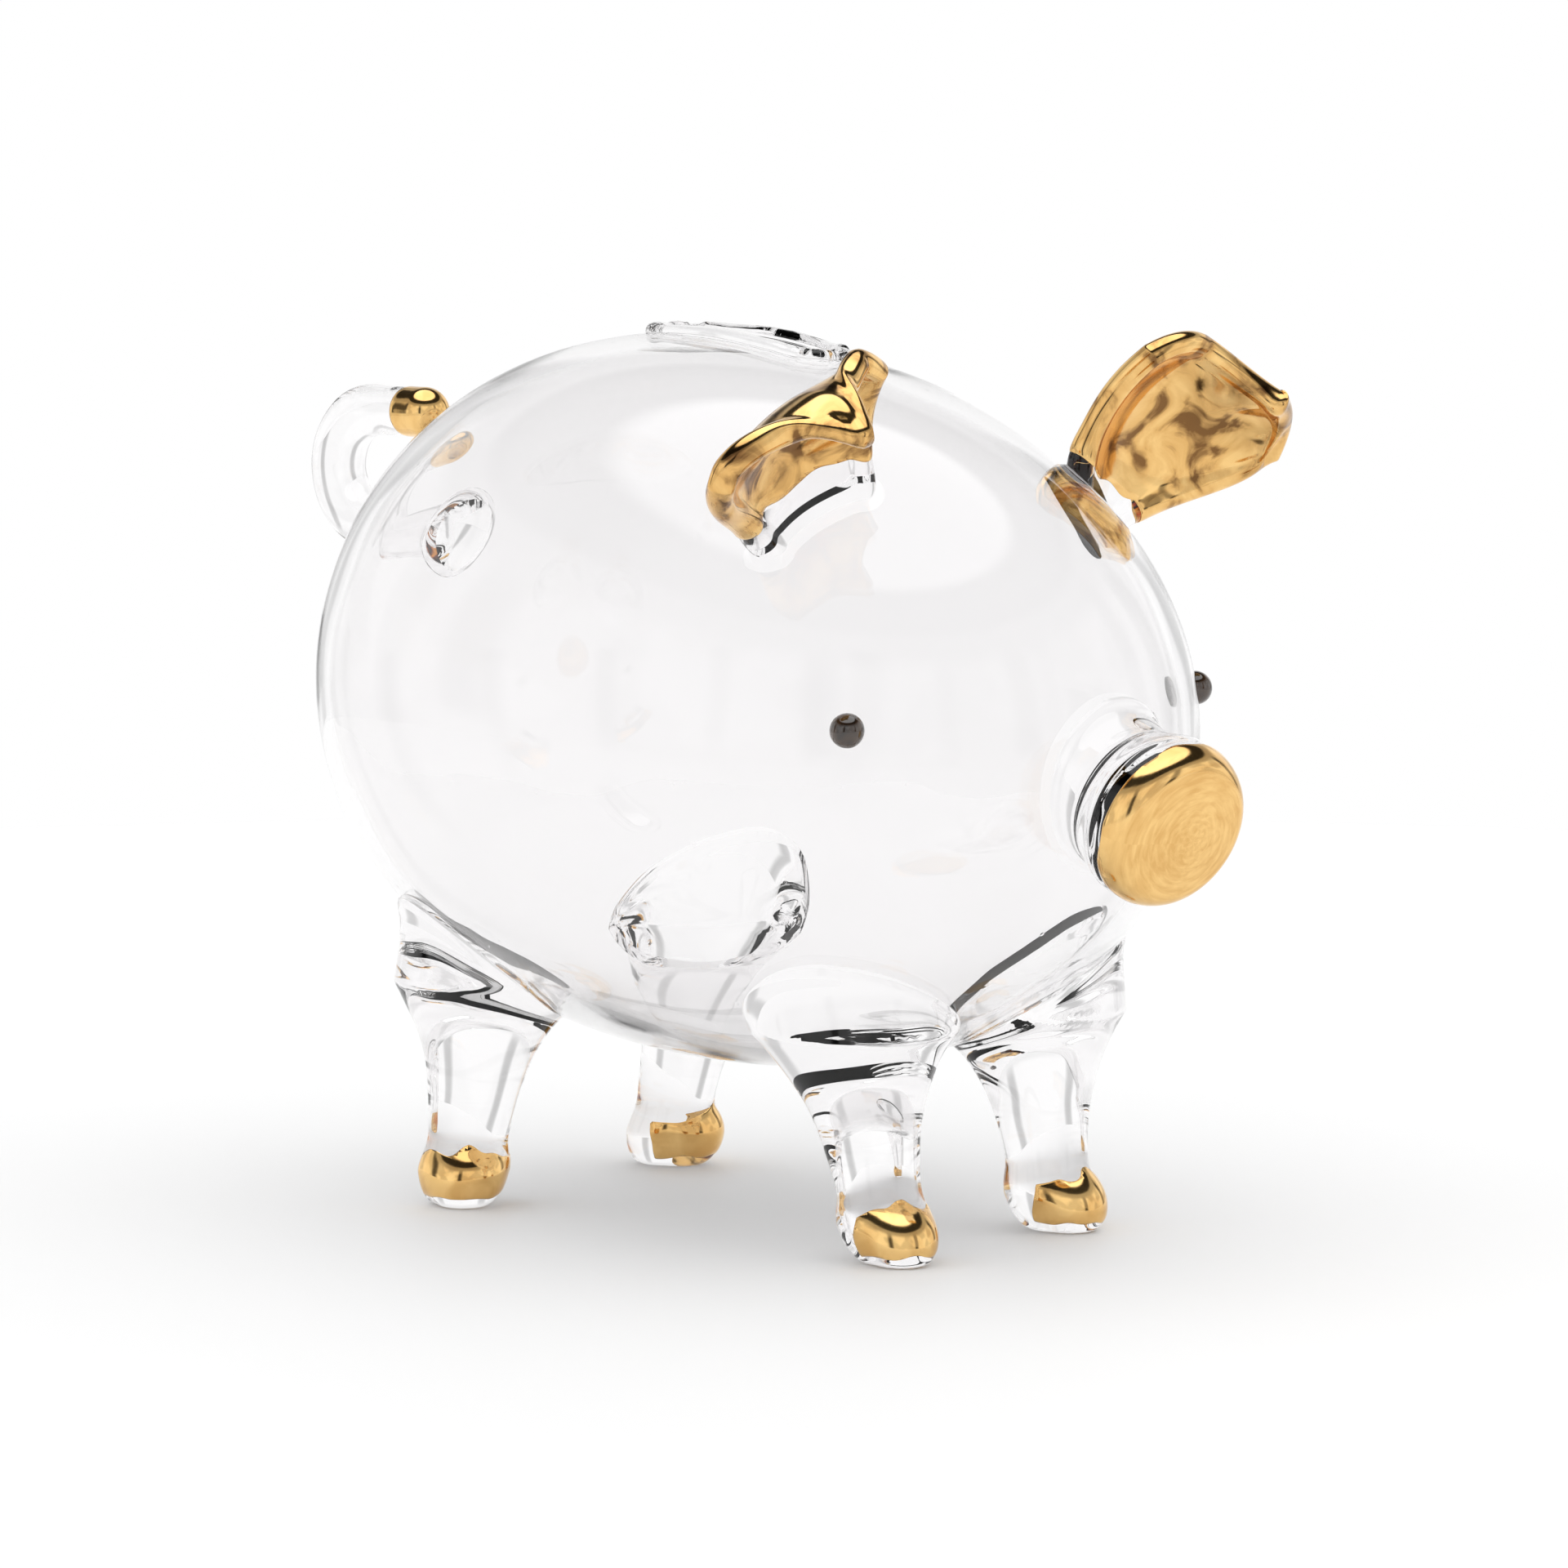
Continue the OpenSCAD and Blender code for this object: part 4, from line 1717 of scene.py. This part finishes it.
@dataclass
class Ear:
    """A cupped leaf of glass with rolled rims, its top edge pinched forwards into a bead.

    In the leaf's own frame X runs outwards from the head, Y to the leaf's back and Z up the leaf.
    """

    egg: EggRule
    palette: Palette
    side: Side
    # The leaf's inner and outer edges: where they start, how far they swell and how soon
    inner_root: float = -9.9 * MM
    inner_swell: float = 3.6 * MM
    inner_rate: float = 0.7
    outer_root: float = 8.6 * MM
    outer_swell: float = 9.2 * MM
    outer_rate: float = 0.95
    top: float = 23.9 * MM
    # Share of the height by which the top corners drop, and how late each one does
    corner: float = 0.26
    inner_corner: int = 4
    outer_corner: int = 5
    # The cup: its middle, its radius, its depth and where it stops deepening
    middle: tuple[float, float] = (2.5 * MM, 12.5 * MM)
    radius: float = 13.5 * MM
    cup: float = 4.2 * MM
    cup_limit: float = 1.9
    thickness: float = 2.0 * MM
    rim: float = 1.45 * MM
    bead: float = 1.9 * MM
    bead_reach: float = 2.2 * MM
    root_thickness: float = 5.0 * MM
    root_height: float = 3.2 * MM
    # The pinch: its place, how far it comes forwards, how wide and how sharp it is
    pinch_x: float = 0.8 * MM
    pinch_out: float = 12.5 * MM
    pinch_inner: float = 10.0 * MM
    pinch_outer: float = 15.0 * MM
    pinch_sharp: float = 1.15
    pinch_fade: float = 3.4
    gather: float = 0.35
    hood_lift: float = 10.5 * MM
    hood_fall: float = 13.6 * MM
    # The gold's lower edge, and how far it dips on the outer side
    gold_from: float = 5.0 * MM
    gold_dip: float = 2.6 * MM
    waver: float = 0.14 * MM
    melt: float = 0.9 * MM
    rows: int = 72
    columns: int = 84

    @classmethod
    def folded(cls, egg: EggRule, palette: Palette) -> Ear:
        """The right ear, folded well forwards.

        Args:
            egg: The body's rule.
            palette: The finishes.

        Returns:
            The ear.
        """
        return cls(
            egg,
            palette,
            Side.RIGHT,
            inner_root=-9.3 * MM,
            inner_swell=3.2 * MM,
            rim=1.6 * MM,
            bead=2.1 * MM,
            pinch_inner=9.6 * MM,
            pinch_out=13.6 * MM,
            hood_fall=15.4 * MM,
        )

    @classmethod
    def flatter(cls, egg: EggRule, palette: Palette) -> Ear:
        """The left ear, more open and pinched nearer its outer edge.

        Args:
            egg: The body's rule.
            palette: The finishes.

        Returns:
            The ear.
        """
        return cls(
            egg,
            palette,
            Side.LEFT,
            inner_root=-8.4 * MM,
            inner_swell=3.4 * MM,
            outer_swell=9.0 * MM,
            outer_rate=1.15,
            top=25.2 * MM,
            pinch_x=6.5 * MM,
            pinch_out=8.5 * MM,
            hood_lift=3.0 * MM,
            hood_fall=2.8 * MM,
            gold_from=2.4 * MM,
        )

    @property
    def axis(self) -> np.ndarray:
        """Frame at the ear's root, before mirroring."""
        return frame_of(self.egg.place(59.7, 49.3), [("Z", 6.1), ("Y", 28.6), ("X", 31.0)])

    def sheet(self, u: np.ndarray, v: np.ndarray) -> np.ndarray:
        """Points midway through the leaf, in its own frame.

        Args:
            u: Place across the leaf, from -1 to 1.
            v: Place up the leaf, from 0 to 1.

        Returns:
            The points.
        """
        inner = self.inner_root - self.inner_swell * v**self.inner_rate
        outer = self.outer_root + self.outer_swell * np.sin(v * self.outer_rate * math.pi / 2)
        share = (u + 1) / 2
        x = inner * (1 - share) + outer * share
        drop = self.corner * np.abs(u) ** np.where(u < 0, self.inner_corner, self.outer_corner)
        width = np.where(x < self.pinch_x, self.pinch_inner, self.pinch_outer)
        near = np.clip(1 - np.abs(x - self.pinch_x) / width, 0, 1) ** self.pinch_sharp
        z = v * (self.top * (1 - drop) + self.hood_lift * near) - self.hood_fall * near * v**5
        away = ((x - self.middle[0]) ** 2 + (z - self.middle[1]) ** 2) / self.radius**2
        y = self.cup * (1 - np.minimum(away, self.cup_limit))
        pull = v**self.pinch_fade * near
        x = x - pull * v**6 * (x - self.pinch_x) * self.gather
        return np.stack([x, y - self.pinch_out * pull, z], axis=-1)

    def form(self) -> tuple[Form, np.ndarray]:
        """Wraps two faces round the leaf's middle, bedded on the glass.

        Returns:
            The closed form and its lowest ring, before mirroring.
        """
        u = -np.cos(np.linspace(0, math.pi, self.columns))
        v = 0.5 * (1 - np.cos(np.linspace(0.35, math.pi, self.rows)))
        v = (v - v[0]) / (v[-1] - v[0])
        middle = self.sheet(*np.meshgrid(u, v))
        normal = np.cross(np.gradient(middle, axis=0), np.gradient(middle, axis=1))
        normal /= np.maximum(np.linalg.norm(normal, axis=-1, keepdims=True), 1e-12)
        half = normal * self.half_thickness(middle)[..., None]
        # The back runs the other way, without the two columns that it shares with the front
        back = slice(-2, 0, -1)
        rows = np.concatenate([middle - half, (middle + half)[:, back]], axis=1)
        heights = np.concatenate([middle, middle[:, back]], axis=1)[..., 2]
        rows = carry(self.axis, rows)
        waver = self.waver * wobble(rows, 9 * MM, 31.0 + self.side.value)
        rows = rows + waver[..., None] * self.axis[:3, 1]
        slide = self.egg.cast(rows[0], SEAM_GAP) - rows[0]
        rows = rows + slide[None] * (1 - smooth_step(heights / (5 * MM)))[..., None]
        rows[0] = self.egg.cast(rows[0], SEAM_GAP)
        count = rows.shape[1]
        start = (self.rows - 1) * count
        form = Form(rows.reshape(-1, 3), grid_faces(self.rows, count))
        form.add(cap_on_egg(self.egg, rows[0], 10))
        for j in range(self.columns - 1):
            corners = (j, j + 1, count - j - 1, (count - j) % count)
            form.faces.append(tuple(dict.fromkeys(start + i for i in corners)))
        return form, rows[0]

    def build(self) -> tuple[list[Piece], Footprint]:
        """Makes the ear and its gold.

        Returns:
            The pieces, and the ear's contact with the body.
        """
        form, loop = self.form()
        if self.side is Side.RIGHT:
            form, loop = form.mirrored(), loop * self.side.flip
        mesh = to_mesh(form, [self.palette.glass, self.palette.joint], 0.004 * MM)
        cover = self.gold_cover(mesh_points(mesh) * self.side.flip)
        name = self.side.word
        gold = GoldLustre(f"gold_ear_{name}", Stroke.MOTTLED)
        pieces = gild((f"ear_{name}", f"ear_gold_{name}"), mesh, cover, gold)
        return pieces, Footprint(loop, melt=self.melt)

    def half_thickness(self, middle: np.ndarray) -> np.ndarray:
        """Half the leaf's thickness, with its rolled rims, its bead and its thick root.

        Args:
            middle: The grid of points midway through the leaf.

        Returns:
            The half thickness at each point.
        """
        left, risen = travelled(middle, 1), travelled(middle, 0)
        right = left[:, -1:] - left
        edge = np.minimum(np.minimum(left, right), risen[-1:] - risen)
        flat = self.thickness / 2
        foremost = middle[-1, int(np.argmin(middle[-1, :, 1]))]
        tip = np.exp(-((np.linalg.norm(middle - foremost, axis=-1) / self.bead_reach) ** 2))
        rim = self.rim + (self.bead - self.rim) * tip
        rolled = np.sqrt(np.maximum(rim**2 - (rim - np.minimum(edge, rim)) ** 2, 0))
        body = flat + (rim - flat) * (1 - rise_over(edge, rim, self.bead_reach))
        half = np.where(edge < rim, rolled, body)
        root_half = self.root_thickness / 2
        thick = (root_half - flat) * np.exp(-((middle[..., 2] / self.root_height) ** 2))
        side = np.clip(np.minimum(left, right) / root_half, 0, 1)
        return half + thick * np.sqrt(side * (2 - side))

    def gold_cover(self, points: np.ndarray) -> np.ndarray:
        """How far inside the ear's gold the points are.

        Args:
            points: The ear's points, before mirroring.

        Returns:
            Distances, negative outside the gold.
        """
        local = carry(np.linalg.inv(self.axis), points)
        waver = wobble(points, 5 * MM, 41.0 + 2 * self.side.value) * MM
        outer = np.clip((local[:, 0] - 6.5 * MM) / (4 * MM), 0, 1)
        return local[:, 2] - (self.gold_from + 0.7 * waver - self.gold_dip * outer)


@dataclass
class Tail:
    """A thick rod that leaves the rump, curls up and forward, and ends in a gold tip."""

    egg: EggRule
    palette: Palette
    radius: float = 3.9 * MM
    tip_radius: float = 3.3 * MM
    curl: float = 7.8 * MM
    run: float = 15.0 * MM
    end: float = 10.0 * MM
    flare: float = 2.7 * MM
    flare_length: float = 2.3 * MM
    gold_length: float = 3.2 * MM
    rows: int = 150
    columns: int = 64
    tip_share: float = 0.12
    waver: float = 0.25 * MM
    melt: float = -1.5 * MM

    def grow(self, start: np.ndarray) -> bpy.types.Mesh:
        """Runs the tree that sweeps the rod along its path.

        Args:
            start: The place on the rump that the path starts from.

        Returns:
            The rod, open at its root.
        """
        grow = GrowTree("tail")
        radius = grow.size("Radius", self.radius)
        tip_radius = grow.size("Tip Radius", self.tip_radius)
        curl = grow.size("Curl", self.curl)
        run = grow.size("Run", self.run)
        end = grow.size("End", self.end)
        flare = grow.size("Flare", self.flare)
        waver = grow.size("Waver", self.waver)
        grid, way, round_way = grow.grid(self.rows, self.columns + 1)
        body = smaller(way / (1.0 - self.tip_share), 1.0)
        tip = greater((way - (1.0 - self.tip_share)) / self.tip_share, 0.0) * (math.pi / 2)
        whole = run + curl * math.pi + end
        along = whole * body + tip_radius * sine(tip)
        first = along.math("MINIMUM", run)
        arc = greater(smaller((along - run) / curl, math.pi), 0.0)
        rest = greater(along - run - curl * math.pi, 0.0)
        y = first + curl * sine(arc) - rest
        z = curl * (1.0 - cosine(arc))
        spread = (along * (-1.0 / self.flare_length)).math("EXPONENT")
        thin = (radius - tip_radius) * smooth_step((along / whole - 0.55) / 0.45)
        patch = grow.board.noise(grow.vector((y, z, 0.3)), 95.0, 1.0) - 0.5
        size = (radius + flare * spread - thin + patch * waver * 2.0) * cosine(tip)
        turn = round_way * (2 * math.pi)
        lift = size * cosine(turn)
        sway = grow.board.noise(grow.vector((along, 0.0, 0.7)), 40.0, 1.0) - 0.5
        drift = sway * waver * 4.0 * smooth_step(along / (12 * MM))
        place = (
            size * sine(turn) + drift + float(start[0]),
            y - sine(arc) * lift + float(start[1]),
            z + cosine(arc) * lift + float(start[2]),
        )
        grow.finish(grow.shape(grid, place), self.palette.glass)
        return grow.run()

    def build(self) -> tuple[list[Piece], Footprint]:
        """Makes the tail and its gold tip.

        Returns:
            The pieces, and the tail's contact with the body.
        """
        start = self.egg.place(166.0, 90.0)
        grown = self.grow(start)
        points = mesh_points(grown)
        base = self.radius + self.flare
        angle = np.arctan2(points[:, 0] - start[0], points[:, 2] - start[2])
        x, z = start[0] + base * np.sin(angle), start[2] + base * np.cos(angle)

        def path(distance: np.ndarray) -> np.ndarray:
            """Points towards the nose from the root's rim."""
            return np.stack([x, start[1] - distance, z], axis=-1)

        slide = -meet_glass(self.egg, path, -6 * MM, 8 * MM, len(points))
        behind = points[:, 1] - start[1]
        fade = (1 - smooth_step(behind / (6 * MM))) * (points[:, 2] < start[2] + 1.3 * base)
        points[:, 1] += slide * fade
        faces = [tuple(p.vertices) for p in grown.polygons]
        bm = bmesh.new()
        bm.from_mesh(grown)
        rim = sorted((v.index for v in bm.verts if v.is_boundary), key=lambda i: angle[i])
        bm.free()
        points[rim] = self.egg.cast(points[rim], SEAM_GAP)
        form = Form(points, faces)
        form.add(cap_on_egg(self.egg, points[rim]))
        mesh = to_mesh(form, [self.palette.glass, self.palette.joint])
        here = mesh_points(mesh)
        waver = wobble(here, 6 * MM, 51.0) * MM
        cut = start[1] + self.run - self.end + self.gold_length + 0.2 * waver
        cover = np.where(here[:, 2] > start[2] + self.curl, cut - here[:, 1], -1 * MM)
        gold = GoldLustre("gold_tail", Stroke.SMOOTH)
        pieces = gild(("tail", "tail_gold"), mesh, cover, gold)
        return pieces, Footprint(points[rim], melt=self.melt)


@dataclass
class Eye:
    """A dark bead sunk into the head."""

    egg: EggRule
    palette: Palette
    side: Side
    diameter: float = 4.4 * MM
    sink: float = 1.5 * MM
    # How uneven the bead is, and how much its outer side is flattened
    waver: float = 0.03
    flatten: float = 0.05

    def build(self) -> Piece:
        """Makes the bead.

        Returns:
            The piece.
        """
        station, angle = (44.0, 13.2) if self.side is Side.LEFT else (42.2, 11.7)
        spot = self.egg.place(station, angle)
        out = self.egg.normals(spot[None])[0]
        centre = spot + out * (self.diameter / 2 - self.sink)
        bm = bmesh.new()
        bmesh.ops.create_icosphere(bm, subdivisions=5, radius=self.diameter / 2)
        seed = Vector((self.side.value * 3.0, 1.0, 2.0))
        for vert in bm.verts:
            level = float(np.dot(vert.co, out)) / (self.diameter / 2)
            waver = self.waver * noise.noise(vert.co / (2.5 * MM) + seed)
            vert.co *= 1 + waver - self.flatten * max(level, 0.0) ** 2
            vert.co += Vector(centre)
            vert.co.x *= self.side.value
        face_out(bm)
        for face in bm.faces:
            face.smooth = True
        mesh = bpy.data.meshes.new("eye")
        bm.to_mesh(mesh)
        bm.free()
        mesh.materials.append(self.palette.bead)
        name = f"eye_{self.side.word}"
        return Piece(name, mesh, "dark_bead", [name])


# ---- Studio


@dataclass
class Studio:
    """Pale floor, soft light and camera."""

    azimuth: float = -45.18
    elevation: float = 5.69
    distance: float = 0.9379
    target: tuple[float, float, float] = (0.0016, -0.00305, 0.0568)
    lens: float = 163.2
    floor_radius: float = 0.5
    # Brightness of the room for surfaces that are neither mirrors nor glass
    open_light: float = 1.20
    glass_bounces: int = 32

    def build(self, centre_y: float) -> None:
        """Sets up the floor, the light, the camera and the colour.

        Args:
            centre_y: Place of the body's middle along Y.
        """
        self.world()
        self.floor()
        self.lamps()
        self.camera(centre_y)
        scene = bpy.context.scene
        scene.view_settings.view_transform = "Standard"
        scene.view_settings.look = "None"
        scene.cycles.max_bounces = self.glass_bounces
        scene.cycles.transmission_bounces = self.glass_bounces
        scene.cycles.transparent_max_bounces = self.glass_bounces
        scene.cycles.glossy_bounces = 12
        scene.cycles.diffuse_bounces = 3
        scene.cycles.caustics_reflective = True
        scene.cycles.caustics_refractive = True

    def world(self) -> None:
        """Sets up a white room that mirrors, glass and matt surfaces each see in their own way."""
        world = bpy.data.worlds.new("studio")
        bpy.context.scene.world = world
        world.use_nodes = True
        world.node_tree.nodes.clear()
        board = Board(world.node_tree)
        way = board.node("ShaderNodeTexCoord").outputs["Generated"]
        parts = board.node("ShaderNodeSeparateXYZ", {"Vector": way})
        x, y, z = (board.field(parts.outputs[name]) for name in "XYZ")
        turn = y.math("ARCTAN2", x)
        patches = rise_over(board.noise(way, 2.6, 1.0), 0.46, 0.12)
        path = board.node("ShaderNodeLightPath")
        mirror = board.field(path.outputs["Is Glossy Ray"])
        through = board.field(path.outputs["Is Transmission Ray"])
        level = self.open_light * (1.0 - mirror) * (1.0 - through)
        level = level + self.in_mirrors(z, turn, patches) * mirror * (1.0 - through)
        level = level + self.in_glass(z, turn, patches) * through
        white = (1.0, 1.0, 1.0, 1.0)
        room = board.node("ShaderNodeBackground", {"Color": white, "Strength": level})
        sheet = board.node("ShaderNodeBackground", {"Color": white, "Strength": 1.0})
        mixed = board.node("ShaderNodeMixShader", {"Fac": path.outputs["Is Camera Ray"]})
        board.feed(mixed.inputs[1], room.outputs[0])
        board.feed(mixed.inputs[2], sheet.outputs[0])
        surface(board, board.node("ShaderNodeOutputWorld"), mixed)

    @staticmethod
    def in_mirrors(z: Field, turn: Field, patches: Field) -> Field:
        """The room in mirrors: dark strips on its walls, and a softbox in a dark ceiling.

        Args:
            z: Upward part of the direction.
            turn: Angle of the direction round the room.
            patches: Soft uneven patches, from 0 to 1.

        Returns:
            The brightness.
        """
        strips = rise_over(cosine(turn * 5.0 + 0.9), 0.80, 0.2)
        walls = 0.82 - 0.74 * strips + 0.30 * patches
        upper = rise_over(z, 0.42, 0.14)
        gap = rise_over(z, 0.60, 0.05)
        box = rise_over(z, 0.80, 0.05)
        below = rise_over(-1.0 * z, 0.02, 0.1)
        level = walls * (1.0 - upper) + 0.50 * upper * (1.0 - gap) + 0.03 * gap
        level = level * (1.0 - box) + 1.9 * box
        return level * (1.0 - below) + 0.92 * below

    @staticmethod
    def in_glass(z: Field, turn: Field, patches: Field) -> Field:
        """The room through glass: white, with narrow strips and a darker band above and below.

        Args:
            z: Upward part of the direction.
            turn: Angle of the direction round the room.
            patches: Soft uneven patches, from 0 to 1.

        Returns:
            The brightness.
        """
        fine = rise_over(cosine(turn * 8.0 - math.pi), 0.72, 0.28)
        high = rise_over(z, 0.45, 0.1) * (1.0 - rise_over(z, 0.62, 0.1))
        low = rise_over(-1.0 * z, 0.15, 0.3)
        level = 1.06 - 0.42 * fine * (1.0 - rise_over(z, 0.4, 0.2))
        return level - 0.12 * high - 0.04 * patches - 0.40 * low

    def floor(self) -> None:
        """A wide pale disc under the bank."""
        bm = bmesh.new()
        bmesh.ops.create_circle(bm, cap_ends=True, radius=self.floor_radius, segments=96)
        mesh = bpy.data.meshes.new("floor")
        bm.to_mesh(mesh)
        bm.free()
        floor = bpy.data.objects.new("floor", mesh)
        floor.location.z = -0.05 * MM
        bpy.context.scene.collection.objects.link(floor)
        material, board, output = new_material("floor")
        place = board.node("ShaderNodeTexCoord").outputs["Object"]
        cloud = board.noise(place, 3.0)
        colour = board.ramp(cloud, [(0.0, (0.86, 0.86, 0.86)), (1.0, (0.9, 0.9, 0.9))])
        matt = board.node("ShaderNodeBsdfPrincipled", {"Base Color": colour, "Roughness": 0.6})
        surface(board, output, matt)
        mesh.materials.append(material)

    def lamps(self) -> None:
        """A large soft lamp that whitens the floor."""
        data = bpy.data.lights.new("overhead", "AREA")
        data.shape = "DISK"
        data.size = 1.6
        data.energy = 1.5
        lamp = bpy.data.objects.new("overhead", data)
        lamp.location = (0.25, -0.2, 1.5)
        lamp.visible_glossy = False
        lamp.visible_transmission = False
        lamp.visible_camera = False
        bpy.context.scene.collection.objects.link(lamp)

    def camera(self, centre_y: float) -> None:
        """A long lens at the height of the pig's eye.

        Args:
            centre_y: Place of the body's middle along Y.
        """
        data = bpy.data.cameras.new("camera")
        data.lens = self.lens
        data.sensor_width = 36.0
        camera = bpy.data.objects.new("camera", data)
        a, e = math.radians(self.azimuth), math.radians(self.elevation)
        back = Vector((math.sin(a) * math.cos(e), -math.cos(a) * math.cos(e), math.sin(e)))
        aim = Vector(self.target) + Vector((0.0, centre_y, 0.0))
        camera.location = aim + back * self.distance
        camera.rotation_mode = "QUATERNION"
        camera.rotation_quaternion = (-back).to_track_quat("-Z", "Y")
        data.clip_start, data.clip_end = 0.02, 20.0
        bpy.context.scene.collection.objects.link(camera)
        bpy.context.scene.camera = camera


def main() -> None:
    """Builds the bank and its studio."""
    logging.basicConfig(level=logging.INFO, format="%(name)s %(message)s")
    egg = fit_egg()
    palette = Palette.build()
    slot = SlotRule(egg)
    makers: list[SlotLip | Snout | Tail | Ear | Leg] = [
        SlotLip(egg, slot, palette),
        Snout(egg, palette),
        Tail(egg, palette),
        Ear.folded(egg, palette),
        Ear.flatter(egg, palette),
        *(Leg(egg, palette, end, side) for end in End for side in Side),
    ]
    pieces: list[Piece] = []
    footprints: list[Footprint] = []
    for maker in makers:
        made, footprint = maker.build()
        pieces += made
        footprints.append(footprint)
    pieces += [Eye(egg, palette, side).build() for side in Side]
    pieces.append(BlownBody(egg, slot, palette).build(footprints))
    for piece in pieces:
        piece.report()
    Studio().build(egg.centre_y)


if __name__ == "__main__":
    main()
